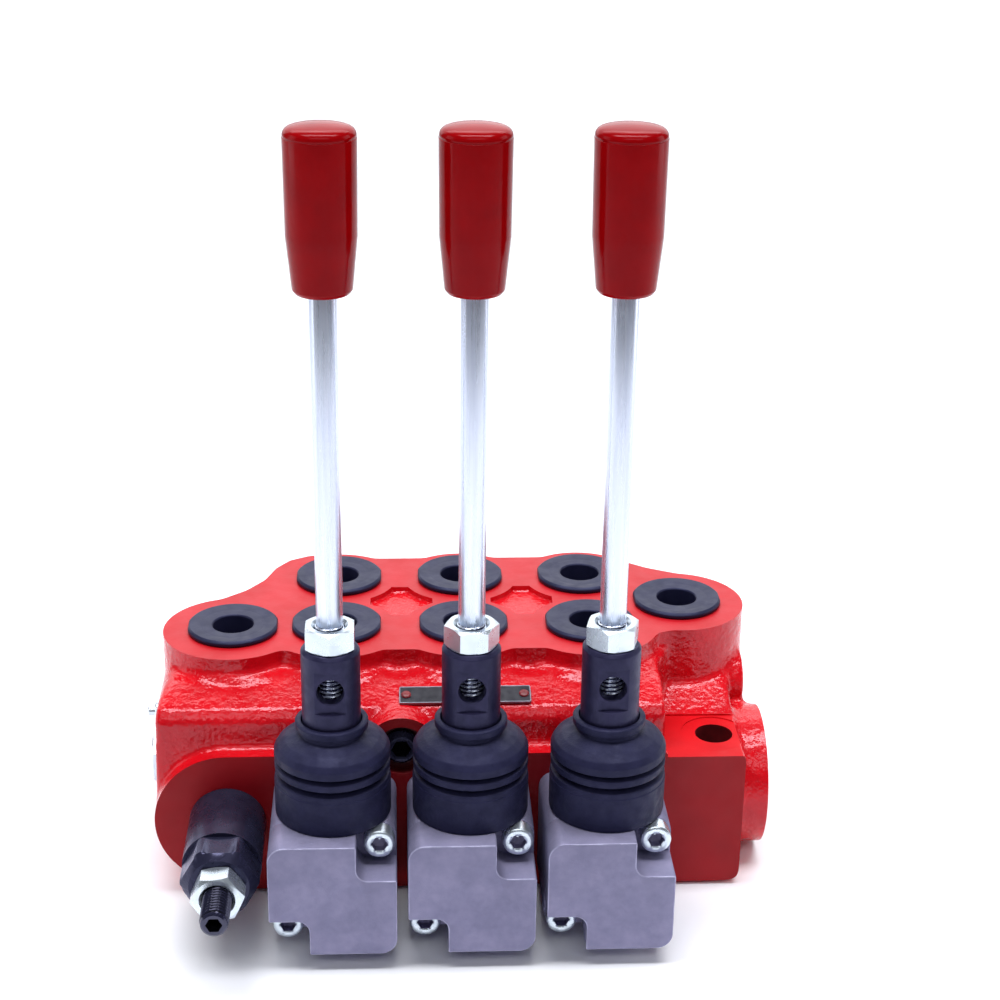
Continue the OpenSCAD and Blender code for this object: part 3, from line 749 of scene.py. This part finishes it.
def casting_block():
    """The block under the lobes: sloped shoulders, round at the relief valve, with low ears."""
    shoulder = [(-36, 2), (-36, 53.2), (-33.4, 56.4), (-22, 59.6)]
    shoulder += [(56, 59.6), (67.4, 56.4), (70, 53.2), (70, 2)]
    block = raw_prism("block", shoulder, -92, 82, YZ)
    outline = rounded([(-90.6, 60.3, 7), (80.5, 60.3), (80.5, 1), (-80, 1)], True, 8)
    outline += [p for p in circle(*RELIEF, RELIEF_PAD, 48, 270, -90) if p.x < -80]
    combine(block, [raw_prism("ends", outline, -80, 50, XZ)], "INTERSECT")
    front = [(-60, 43.3), (-17, 43.3), (-4, 49), (4, 51.4), (57, 51.4), (57, 80), (-60, 80)]
    rear = [(36, 43.1), (100, 43.1), (100, 80), (36, 80)]
    left = [(14, 43.1), (67, 43.1), (69, 38.5), (100, 38.5), (100, 80), (14, 80)]
    ears = ((front, 57.4, 100), (rear, 57.4, 100), (left, -120, -57.4))
    cutters = [raw_prism("ear", floor, low, high, YZ) for floor, low, high in ears]
    corner = [(-100, 60), (-89, 60), (-80.5, 68), (-80.5, 90), (-100, 90)]
    cutters.append(raw_prism("corner", corner, -5, 60))
    combine(block, cutters)
    return shape_of(block)


def casting_blank():
    """The rough casting before machining: profiles as in the CAD, with stock on machined faces."""
    blank = casting_block()
    low, deck, face = 30, DECK_Z + 4, 3 - FRONT_Y
    for x in LANES:
        blank.prism(circle(x, 0, 21), low, deck)
        blank.prism(circle(x, 0, 23.6), low, SHOULDER_Z)
        blank.prism(circle(x, ROW_GAP, 18.5), low, deck)
    blank.prism(circle(*INLET, 20.8), low, deck)
    blank.prism(circle(INLET[0] + 2, INLET[1] - 2, 21), low, SHOULDER_Z)
    blank.prism(circle(*OUTLET, 20.5), low, deck)
    web = [(-68.8, -16), (50, -16), (56, -8), (60, -6.2), (68, -4), (76, 0), (76, 32), (60, 40)]
    web += [(48, 49), (-30, 49), (-38, 52.4), (-47.5, 51.8), (-54, 48.2), (-58.2, 42.2)]
    web += [(-61.2, 33.4), (-66.5, 25.8), (-73.5, 19.8)]
    blank.prism(web, low, deck)
    around = circle(*RELIEF, RELIEF_PAD, 64, 270, -180)
    pad = [(57, 45), (57, 1), (-80, 1)] + [p for p in around if p.x < -80 or p.y > RELIEF[1]]
    blank.prism(pad, 30, face, XZ)
    blank.prism([(-57, 1), (57, 1), (57, 45), (-57, 45)], -BACK_Y - 3, -60, XZ)
    blank.prism(rounded([(49, 1), (80.5, 1, 3), (80.5, 43.3), (49, 43.3)], True), 30, face, XZ)
    blank.prism(circle(*GALLERY_PLUG, 10.6), 20, face, XZ)
    blank.prism(circle(*SIDE_PORT, 20.8), 79.5, 92, YZ)
    blank.prism(circle(*GAUGE_PORT, 12), -93, -60, YZ)
    blank.prism(circle(6, 44, 9), 60, 86, YZ)
    blank.prism(circle(*RIGHT_DRILLING, 9), 60, 86, YZ)
    for x, y in MOUNTS:
        blank.prism(circle(x, y, 8.5), -3, 12)
    blank.prism(circle(RELIEF[0], -12, 12), -3, 12)
    blank.prism(circle(0, 0, 18), -3, 12)
    return raw(blank, "blank")


def hollow_star(x):
    """The sunk diamond between four lobes of the deck, centred at x."""
    star = []
    for side, row, start in ((1, -1, 180), (1, 1, 270), (-1, 1, 0), (-1, -1, 90)):
        arc = circle(x + side * PITCH / 2, 17 + row * ROW_GAP / 2, 17.6, 24, start, -90)
        star += [p for p in arc if abs(p.x - x) < 10.2 and abs(p.y - 17) < 10.6]
    return stepped(star, ((0.9, 64.2), (0.4, 64.6), (0, 67)))


def machining():
    """Cutters for the machined faces and bores, each with the finish it leaves behind."""
    cutters = []
    face = 4 - FRONT_Y

    def cut(paint, build):
        shape = Shape()
        shape.paint = paint
        build(shape)
        cutters.append(raw(shape, "cutter", HOUSING_PAINTS))

    def slab(paint=MILLED, x0=-150, y0=-100, z0=-20, x1=150, y1=150, z1=100):
        """A box. A side that isn't given is well outside the casting."""
        box = [(x0, y0), (x1, y0), (x1, y1), (x0, y1)]
        cut(paint, lambda s: s.prism(box, z0, z1))

    slab(z0=DECK_Z)
    # The front and back faces get a darker paint: painted shade.
    slab(FACE, y1=FRONT_Y)
    slab(FACE, y0=BACK_Y)
    slab(x0=RIGHT_X)
    slab(x1=LEFT_X)
    slab(z1=0)
    slab(EAR, x0=57.6, y0=FRONT_Y - 1, z0=EAR_Z, x1=90, y1=-16.6, z1=50)
    for x, y in MOUNTS:
        cut(EAR, lambda s: s.prism(circle(x, y, 9.6), EAR_Z - 0.3, 60))
        cut(BORE, lambda s: s.prism(circle(x, y, 5.5), -5, 60))
    for x in (-PITCH / 2, PITCH / 2):
        cut(CAST, lambda s: s.loft(hollow_star(x)))
    cut(BORE, lambda s: s.prism(circle(*GALLERY_PLUG, 7.6), -FRONT_Y - 3.5, face, XZ))
    cut(BORE, lambda s: s.prism(circle(*GALLERY_PLUG, 5.25), 15, face, XZ))
    for x in LANES:
        cut(BORE, lambda s: s.prism(circle(x, SPOOL_Z, 9.03), -BACK_Y - 4, face, XZ))
        for y in (0, ROW_GAP):
            cut(BORE, lambda s: s.prism(circle(x, y, PORT_BORE), 50, 70))
    for x, y in (INLET, OUTLET):
        cut(BORE, lambda s: s.prism(circle(x, y, PORT_BORE), 50, 70))
    cut(BORE, lambda s: s.prism(circle(*RELIEF, 10.05), 12, face, XZ))
    cut(BORE, lambda s: s.prism(circle(*RELIEF, 6.1), -5.3, 13, XZ))
    cut(BORE, lambda s: s.thread(X_AXIS, (79.3, *SIDE_PORT), PORT_BORE, 11, 1.8, 0.9, 64))
    cut(BORE, lambda s: s.bar(X_AXIS, (66, *SIDE_PORT), 6.5, 16))
    cut(BORE, lambda s: s.bar(X_AXIS, (-92, *GAUGE_PORT), 6.5, 13.5))
    cut(BORE, lambda s: s.bar(X_AXIS, (-92, *LEFT_DRILLING), 3.1, 20))
    cut(BORE, lambda s: s.bar(X_AXIS, (72, *RIGHT_DRILLING), 4.1, 20))
    cut(BORE, lambda s: s.bar(Z_AXIS, (-60, 17, 2), 7.1, 38))
    return cutters


def housing():
    """The casting: the blank's edges are softened first, and then it is machined."""
    body = casting_blank()
    grid = body.modifiers.new("grid", "REMESH")
    grid.mode = "VOXEL"
    grid.voxel_size = 0.95
    soften = body.modifiers.new("soften", "SMOOTH")
    soften.factor = 0.5
    soften.iterations = 8
    bpy.context.view_layer.update()
    apply_modifiers(body)
    body.data.materials.clear()
    for name in HOUSING_PAINTS:
        body.data.materials.append(FINISH[name])
    combine(body, machining())
    body.name = "housing_casting"
    body.data.name = "housing_casting"
    body.data.transform(Matrix.Scale(MM, 4))
    shade(body.data, 38)
    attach(body, "root")
    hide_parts("valve_body")


# ---------------------------------------------------------------- pieces on the housing


def transit_plugs():
    """Black plastic plugs in the eight ports: dished flange, deep well, two clipped sides."""
    plugs = Shape()
    clip = 13.2
    profile = [(9.1, -13), (9.1, 0.02), (13.1, 0.02, 0.3), (13.6, 0.5, 0.3), (13.6, 1.3, 0.4)]
    profile += [(12.9, 1.95, 0.4), (9.5, 1.55, 1.5), (6.35, 1.5, 0.3), (6.0, 1.1, 0.3), (5.8, -11)]
    rings = []
    for r, z in rounded(profile, steps=3):
        rings.append([(max(-clip, min(clip, x)), y, z) for x, y, z in ring(r, z, 96)])
    for x, y in [(x, y) for x in LANES for y in (0, ROW_GAP)] + [INLET, OUTLET]:
        plugs.loft(rings, Matrix.Translation((x, y, DECK_Z)))
    plugs.piece("transit_plugs", "plug_plastic", "root", "port_plugs", "plug_plastic", 40)


def socket_screw(shape, origin, axis, shank):
    """An M5 socket head cap screw whose outer face is at origin, its shank along axis."""
    key, head_r, head_h, shank_r = 4, 4.25, SCREW_HEAD, 2.5
    outline = hexagon(key)
    levels = [
        (on_circle(outline, shank_r - 0.5), head_h + shank),
        (on_circle(outline, shank_r), head_h + shank - 0.5),
        (on_circle(outline, shank_r), head_h),
        (on_circle(outline, head_r - 0.3), head_h),
        (knurled(outline, head_r), head_h - 0.3),
        (knurled(outline, head_r), 0.9),
        (on_circle(outline, head_r - 0.12), 0.45),
        (on_circle(outline, head_r - 0.45), 0.12),
        (on_circle(outline, head_r - 0.9), 0),
        (on_circle(outline, key * 0.62), 0),
        (outline, 0.25),
        (outline, 2.6),
        (on_circle(outline, 0.3), 3.4),
    ]
    faces = shape.loft(stacked(levels), turned_to(axis, origin))
    # The hexagon socket gets the second material as painted shade.
    paint_recess_shade(faces, len(outline), 10)


def knurled(points, r):
    """A circle in which every second point is a little further in."""
    share = (1, 1 - 0.022)
    return [(p.x * share[k % 2], p.y * share[k % 2]) for k, p in enumerate(on_circle(points, r))]


def paint_recess_shade(faces, count, first):
    """Paints a loft with the second material, as painted shade in the recess, from the level called
    first to the last one.
    """
    for face in faces[first * count :]:
        if len(face.verts) == 4:
            face.material_index = 1


def cap_screws():
    """Two screws in each lever box, and two in each end cap."""
    box_face, cap_face = FRONT_Y - BOX_STEP, BACK_Y + CAP_FLANGE
    head = SCREW_HEAD + CLEAR
    for name, node, face, axis, shank in (
        ("box_cap_screws", "box_screws", box_face - head, Y_AXIS, 36),
        ("rear_cap_screws", "end_cap_screws", cap_face + head, TO_FRONT, 18),
    ):
        screws = Shape()
        for x in LANES:
            for side in (-1, 1):
                off = side * SCREW_OFF
                socket_screw(screws, (x + off, face, SPOOL_Z + off), axis, shank)
        # The hexagon sockets get the darker alloy finish as painted shade.
        screws.piece(name, ["zinc", "cast_alloy"], "root", node, "zinc", 35)


def lever_box(n):
    """Bead-blasted cast box with two screw pockets and a thin bright edge round its front face."""
    x = LANES[n - 1]
    rear, face, neck = Shape(), Shape(), Shape()
    at = Matrix.Translation((x, 0, SPOOL_Z)) @ XZ
    w, h, corner = BOX_HALF_WIDTH, BOX_HALF_HEIGHT, BOX_CORNER
    rear.prism(rounded_box(w, h, corner, 8), -FRONT_Y + CLEAR, BOX_STEP - FRONT_Y, at, 0.35)
    pocketed = [(-w, h, corner), (6.5, h, 0.5), (6.5, 6.3, 3.5), (w, 6.3, 0.5)]
    pocketed += [(w, -h, corner), (-6.5, -h, 0.5), (-6.5, -6.3, 3.5), (-w, -6.3, 0.5)]
    outline = rounded(pocketed, True, 8)
    tip = -FRONT_Y + 39.2
    levels = [(0.1, 60), (0.1, 66.5), (0, 66.9), (0, tip - 0.32), (0.1, tip - 0.1), (0.32, tip)]
    faces = face.loft(stepped(outline, levels), at)
    # The edge bands get the second material: polished metal, partly painted highlight.
    for edge_face in faces[3 * len(outline) : 5 * len(outline)]:
        edge_face.material_index = 1
    neck.bar(Z_AXIS, (x, LEVER_Y, BOX_TOP - 1), 14, 12)
    bores = [
        (Y_AXIS, (x, FRONT_Y - BOX_STEP, SPOOL_Z), 10, 27),
        (Y_AXIS, (x, FRONT_Y - 35, SPOOL_Z), 7.2, 12),
        (Z_AXIS, (x, LEVER_Y, SPOOL_Z), 9, 40),
    ]
    finishes = ["cast_alloy", "alloy_edge_polish_and_highlight"]
    box = hollowed([rear, face, neck], bores, finishes)
    box.piece(f"alloy_box_{n}", finishes, "root", f"lever_box_{n}", "cast_alloy", 35)


def boot(n):
    """Rubber boot: collar, two folds, bell and lip, between the box and the lever."""
    x = LANES[n - 1]
    profile = [(14.1, 0.05), (16.0, 0.05, 0.4), (16.05, 10.2, 0.2), (15.85, 10.45, 0.15)]
    profile += [(15.85, 11.9, 0.4), (13.9, 12.6, 0.3), (13.9, 13.3, 0.3), (15.85, 13.9, 0.35)]
    profile += [(15.9, 15.8, 0.35), (13.9, 16.5, 0.3), (13.9, 17.1, 0.3), (15.95, 17.4, 0.2)]
    profile += [(15.9, 19.6, 0.9), (15.0, 21.2, 1.6), (13.0, 22.7, 2.4), (10.2, 23.9, 1.2)]
    profile += [(9.0, 24.5, 0.4), (9.0, 25.7, 0.3), (9.95, 26.1, 0.2), (10.0, 27.9, 0.4)]
    profile += [(9.4, 28.3, 0.3), (8.35, 28.3, 0.2), (8.3, 25.0), (9.4, 23.0), (12.4, 20.9)]
    profile += [(13.2, 18.4), (13.2, 11.6), (14.05, 11.4)]
    steps = 128
    mould_line = 0.09
    rings = []
    for r, z in rounded(profile, steps=4):
        level = ring(r, z, steps)
        if 10 < z < 24 and r > 13:
            for k in (steps // 4, 3 * steps // 4):
                level[k] = ring(r + mould_line, z, steps)[k]
        rings.append(level)
    made = Shape()
    made.loft(rings, Matrix.Translation((x, LEVER_Y, BOX_TOP)), wrap=True)
    piece = made.piece(f"rubber_boot_{n}", "boot_rubber", None, f"boot_{n}", "boot_rubber", 60)
    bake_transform(piece)


def lever_socket(n):
    """Black socket with two milled flats, a cross hole, a chamfered mouth, and a ball below."""
    sleeve = Shape()
    profile = [(4.0, 72), (4.0, 88.2), (4.6, 89), (7.2, 89, 0.3), (8, 88.0, 0.4), (8, 54.4, 0.3)]
    profile += [(7.6, 54), (5.5, 54), (5.5, 47), (4.0, 47)]
    sleeve.turn(rounded(profile, steps=3), None, 128, hollow=True)
    target = raw(sleeve, "sleeve")
    flat = [(-9, 71.9), (9, 71.9), (9, 84.4), (-9, 84.4)]
    cutters = [raw_prism("flat", flat, low, high, XZ) for low, high in ((-12, -6.8), (6.8, 12))]
    hole = Shape()
    sides = [(4.6, -8.1), (3.6, -6.4), (3.6, 6.4), (4.6, 8.1)]
    hole.turn(sides, turned_to(Y_AXIS, (0, 0, 78.4)), 48)
    cutters.append(raw(hole, "hole"))
    combine(target, cutters)
    socket = shape_of(target)
    socket.bar(X_AXIS, (-6, 0, 46), 6.5, 12, 0.4)
    socket.bar(Z_AXIS, (0, 0, 20), 2.5, 24)
    angles = [math.radians(angle) for angle in range(-80, 81, 10)]
    ball = [(3.5 * math.cos(angle), 3.5 * math.sin(angle)) for angle in angles]
    socket.turn(ball, Matrix.Translation((0, 0, SPOOL_Z)), 48)
    bmesh.ops.translate(socket.bm, verts=socket.bm.verts, vec=(LANES[n - 1], LEVER_Y, 0))
    name, node = f"lever_sleeve_{n}", f"lever_socket_{n}"
    socket.piece(name, "socket_black", f"lever_{n}", node, "socket_black", 18)


def nut(name, node, body, origin, axis, turn):
    """An M8 hexagon nut chamfered at 30 degrees on both faces."""
    made = Shape()
    hole, mouth = 4.2, 0.75
    outline = hexagon(NUT_FLATS, turn)
    flat_r = NUT_FLATS / 2 * 0.965
    slope = math.tan(math.radians(30))
    rings = [
        [(*p, 0.8) for p in on_circle(outline, hole)],
        [(*p, 0.0) for p in on_circle(outline, hole + mouth)],
        [(*p, 0.0) for p in on_circle(outline, flat_r)],
        [(*p, (p.length - flat_r) * slope) for p in outline],
        [(*p, NUT_HEIGHT - (p.length - flat_r) * slope) for p in outline],
        [(*p, NUT_HEIGHT) for p in on_circle(outline, flat_r)],
        [(*p, NUT_HEIGHT) for p in on_circle(outline, hole + mouth)],
        [(*p, NUT_HEIGHT - 0.8) for p in on_circle(outline, hole)],
    ]
    made.loft(rings, turned_to(axis, origin), wrap=True)
    made.piece(name, "zinc", body, node, "zinc", 20)


def lever_nut(n):
    origin = (LANES[n - 1], LEVER_Y, SOCKET_TOP + CLEAR)
    nut(f"zinc_nut_{n}", f"lever_nut_{n}", f"lever_{n}", origin, Z_AXIS, NUT_TURNS[n - 1])


def lever_rod(n):
    """Zinc-plated rod, threaded into the socket and into the knob."""
    x = LANES[n - 1]
    knob_low = KNOB_TOP - KNOB_LEN
    low = SOCKET_TOP + 6.6
    rod = Shape()
    start = (x, LEVER_Y, SOCKET_TOP - 17)
    # The grooves of this thread get black oxide as painted shade.
    rod.thread(Z_AXIS, start, ROD_THREAD_R, 24.2, M8_PITCH, groove_shade_paint=1)
    rod.bar(Z_AXIS, (x, LEVER_Y, low), 3.6, knob_low + 3 - low, 0.25, 96)
    rod.thread(Z_AXIS, (x, LEVER_Y, knob_low + 2.9), ROD_THREAD_R, 24, M8_PITCH)
    finishes = ["rod_zinc", "socket_black"]
    rod.piece(f"zinc_rod_{n}", finishes, f"lever_{n}", f"lever_rod_{n}", "rod_zinc", 30)


def knob(n):
    """Tapered red knob with a rounded crown and the fine line of its mould."""
    low = KNOB_TOP - KNOB_LEN
    seam = KNOB_TOP - 3.3
    inner = (0.4, low + 1)
    profile = [(4.3, low + 1), (4.6, low, 0.3), (7.0, low, 0.5), (7.7, low + 1.0, 1.0)]
    profile += [(9.02, low + 14.5, 9), (9.2, seam - 0.15, 0.05), (9.06, seam - 0.06)]
    profile += [(9.06, seam + 0.06), (9.13, seam + 0.15, 0.05)]
    crown = [(9.1, 0.6), (8.9, 1.3), (8.5, 1.85), (7.9, 2.25), (7.0, 2.55), (5.6, 2.82)]
    crown += [(4.0, 3.04), (2.0, 3.2), (0.4, 3.24)]
    path = [inner] + rounded(profile, steps=5) + [Vector((r, seam + up)) for r, up in crown]
    made = Shape()
    made.turn(path, Matrix.Translation((LANES[n - 1], LEVER_Y, 0)), 128)
    made.piece(f"red_knob_{n}", "knob_plastic", f"lever_{n}", f"knob_{n}", "knob_red", 50)


def relief_barrel(at):
    """Black cartridge: a round collar, and a hexagon with a long chamfer."""
    body = Shape()
    collar = [(9.5, -30), (10, -29.5), (10, 0.02), (10.7, 0.02), (11, 0.35), (11, 24)]
    body.turn(collar, at, 96)
    apothem, steps = 9.75, 96
    angles = [2 * math.pi * k / steps for k in range(steps)]
    around = [Vector((math.cos(angle), math.sin(angle))) for angle in angles]

    def capped(limit):
        """A hexagon whose corners are cut off at radius limit."""
        points = []
        for p in around:
            off = (math.degrees(math.atan2(p.y, p.x)) - 30) % 60
            flat = apothem / math.cos(math.radians(min(off, 60 - off)))
            points.append(p * min(limit, flat))
        return points

    levels = [(11.0, 23.5), (10.9, 24.2), (10.9, 31.4), (10.2, 32.1), (9.2, 33.1)]
    levels.append((8.3, BARREL_LEN))
    body.loft(stacked([(capped(limit), z) for limit, z in levels]), at)
    body.piece("relief_barrel", "black_steel", "root", "relief_cartridge", "black_steel", 24)


def adjusting_screw(at):
    """Threaded screw with a turned end and a hexagon socket."""
    x, z = RELIEF
    tip = BARREL_LEN + NUT_HEIGHT + 11.5
    thread, end, recess = Shape(), Shape(), Shape()
    start = (x, FRONT_Y - 12, z)
    # The thread grooves and the hexagon socket get near-black painted shade.
    thread.thread(TO_FRONT, start, 3.97, tip - 12.6, M8_PITCH, groove_shade_paint=1)
    turned = [(3.3, tip - 1.2), (3.75, tip - 0.8), (3.6, tip - 0.35), (3.05, tip), (0.3, tip)]
    end.turn(turned, at, 48)
    recess.paint = 1
    recess.prism(hexagon(4), tip - 5, tip + 1, at)
    finishes = ["screw_black", "recess_painted_shade"]
    solid, end, recess = [raw(shape, "screw", finishes) for shape in (thread, end, recess)]
    combine(solid, [end], "UNION")
    combine(solid, [recess])
    name, body, node = "relief_adjust_screw", "relief_adjuster", "relief_screw"
    shape_of(solid).piece(name, finishes, body, node, "black_steel", 30)


def relief_stack():
    """The relief valve at the left: cartridge, bright jam nut and adjusting screw."""
    x, z = RELIEF
    at = turned_to(TO_FRONT, (x, FRONT_Y, z))
    relief_barrel(at)
    nut_face = (x, FRONT_Y - (BARREL_LEN + CLEAR), z)
    nut("relief_lock_nut", "relief_jam_nut", "root", nut_face, TO_FRONT, 6)
    adjusting_screw(at)


def name_plate():
    """Blank plate on the shoulder, black with a bare metal edge, held by two red rivets."""
    low, rise, run, middle = 56.5, 60.3 - 56.5, 12, 4.3
    slope = math.atan2(rise, run)
    place = (-0.5, -34 + middle * math.cos(slope), low + middle * math.sin(slope))
    at = Matrix.Translation(place) @ Matrix.Rotation(slope, 4, "X")
    plate = Shape()
    outline = rounded_box(19, 3.3, 0.6)
    levels = ((0, 0.02), (0, 0.74), (0.06, 0.8), (0.3, 0.8), (0.36, 0.75), (0.6, 0.75))
    faces = plate.loft(stepped(outline, levels), at)
    for face in faces[: 4 * len(outline)]:
        face.material_index = 1
    finishes = ["plate_black", "plate_rim"]
    plate.piece("blank_plate", finishes, "root", "name_plate", "plate_black", 30)
    rivets = Shape()
    dome = [(1.0, 0.0), (1.0, 0.84), (1.45, 0.86), (1.38, 1.02), (1.1, 1.2), (0.65, 1.31)]
    dome.append((0.2, 1.34))
    for x in (-17, 17):
        rivets.turn(dome, at @ Matrix.Translation((x, 0, 0)), 32)
    rivets.piece("plate_rivets", "rivet_red", "root", "name_plate_rivets", "rivet_red", 50)


def gallery_plug():
    """The black socket plug between two levers."""
    x, z = GALLERY_PLUG
    plug = Shape()
    outline = hexagon(5)
    levels = [
        (on_circle(outline, 5.2), 14),
        (on_circle(outline, 5.2), 1.7),
        (on_circle(outline, 3.9), 0),
        (on_circle(outline, 3.2), 0),
        (outline, 0.3),
        (outline, 4.6),
        (on_circle(outline, 0.3), 5.2),
    ]
    # The hexagon socket gets near-black painted shade.
    faces = plug.loft(stacked(levels), turned_to(Y_AXIS, (x, FRONT_Y + 0.6, z)))
    paint_recess_shade(faces, len(outline), 4)
    finishes = ["black_steel", "recess_painted_shade"]
    plug.piece("gallery_socket_plug", finishes, "root", "gallery_plug", "black_steel", 30)


def inlet_side_plug():
    """The bright hexagon plug in the gauge port at the left end."""
    plug = Shape()
    outline = hexagon(16)
    levels = [
        (on_circle(outline, 6.4), 12.7),
        (on_circle(outline, 6.4), 3.82),
        (on_circle(outline, 9.0), 3.78),
        (on_circle(outline, 9.25), 3.5),
        (on_circle(outline, 9.25), 2.7),
        (outline, 2.6),
        (outline, 0.5),
        (on_circle(outline, 7.6), 0),
        (on_circle(outline, 4.6), 0),
        (on_circle(outline, 4.2), 0.9),
        (on_circle(outline, 0.4), 1.0),
    ]
    plug.loft(stacked(levels), turned_to(X_AXIS, (-94.3, *GAUGE_PORT)))
    plug.piece("inlet_side_plug", "zinc", "root", "side_port_plug", "zinc", 30)


def drilling_plugs():
    """The two small bright plugs that close drillings, each with a pin."""
    small = Shape()
    for origin, axis, stem, pin in (
        ((LEFT_X, *LEFT_DRILLING), X_AXIS, 3.0, 2.2),
        ((86, *RIGHT_DRILLING), TO_LEFT, 4.0, 3.0),
    ):
        profile = [(stem - 0.4, 10), (stem, 9.6), (stem, 0.4), (stem - 0.4, 0), (1.5, 0)]
        profile += [(1.5, 0.3 - pin), (1.2, -pin), (0.3, -pin - 0.1)]
        small.turn(profile, turned_to(axis, origin), 48)
    small.piece("end_drilling_plugs", "zinc", "root", "side_plugs", "zinc", 30)


def end_cap(n):
    """Cast cap behind a spool: a flange like the lever box, and a round hollow barrel."""
    x = LANES[n - 1]
    flange, barrel = Shape(), Shape()
    at = Matrix.Translation((x, 0, SPOOL_Z)) @ XZ
    outline = rounded_box(BOX_HALF_WIDTH, BOX_HALF_HEIGHT, BOX_CORNER, 8)
    flange.prism(outline, -BACK_Y - CAP_FLANGE, -BACK_Y - CLEAR, at, 0.4)
    profile = [(16.2, 7.8), (15.0, 9.2, 1.0), (15.0, 40.6, 1.6), (13.2, 42, 0.8)]
    profile += [(6.5, 42, 0.3), (6.2, 41.4, 0.3), (0.3, 41.4)]
    path = [(0.3, 7.0), (16.2, 7.0)] + rounded(profile, steps=5)
    barrel.turn(path, turned_to(Y_AXIS, (x, BACK_Y, SPOOL_Z)), 96)
    start = (x, BACK_Y - 1, SPOOL_Z)
    bores = [(Y_AXIS, start, 12.5, 28.3), (Y_AXIS, start, 10, 40)]
    cap = hollowed([flange, barrel], bores, ["cast_alloy"])
    cap.piece(f"alloy_end_cap_{n}", "cast_alloy", "root", f"end_cap_{n}", "cast_alloy", 35)


def carry_over():
    """Materials for the CAD nodes that stay as they are."""
    finish_of = {
        "pivot_pin": "ground_steel",
        "spool_bolt": "black_steel",
        "spool": "ground_steel",
        "spool_seals": "seal_rubber",
        "centering_spring": "spring_steel",
        "spring_seat_inner": "ground_steel",
        "spring_seat_outer": "ground_steel",
        "relief_spring_seat": "ground_steel",
        "relief_spring": "spring_steel",
        "relief_poppet": "ground_steel",
        "check_plug": "zinc",
        "check_poppet": "ground_steel",
        "check_spring": "spring_steel",
    }
    for name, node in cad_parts.items():
        if node.hide_render:
            continue
        base = name.rstrip("_123")
        material = FINISH[finish_of.get(name) or finish_of.get(base, "zinc")]
        node.data.materials.clear()
        node.data.materials.append(material)


make_camera()
FINISH = {make.__name__: make().material for make in FINISHES}
studio()
make_floor()
housing()
transit_plugs()
cap_screws()
name_plate()
gallery_plug()
inlet_side_plug()
drilling_plugs()
relief_stack()
for section in SECTIONS:
    lever_box(section)
    boot(section)
    lever_socket(section)
    lever_nut(section)
    lever_rod(section)
    knob(section)
    end_cap(section)
carry_over()
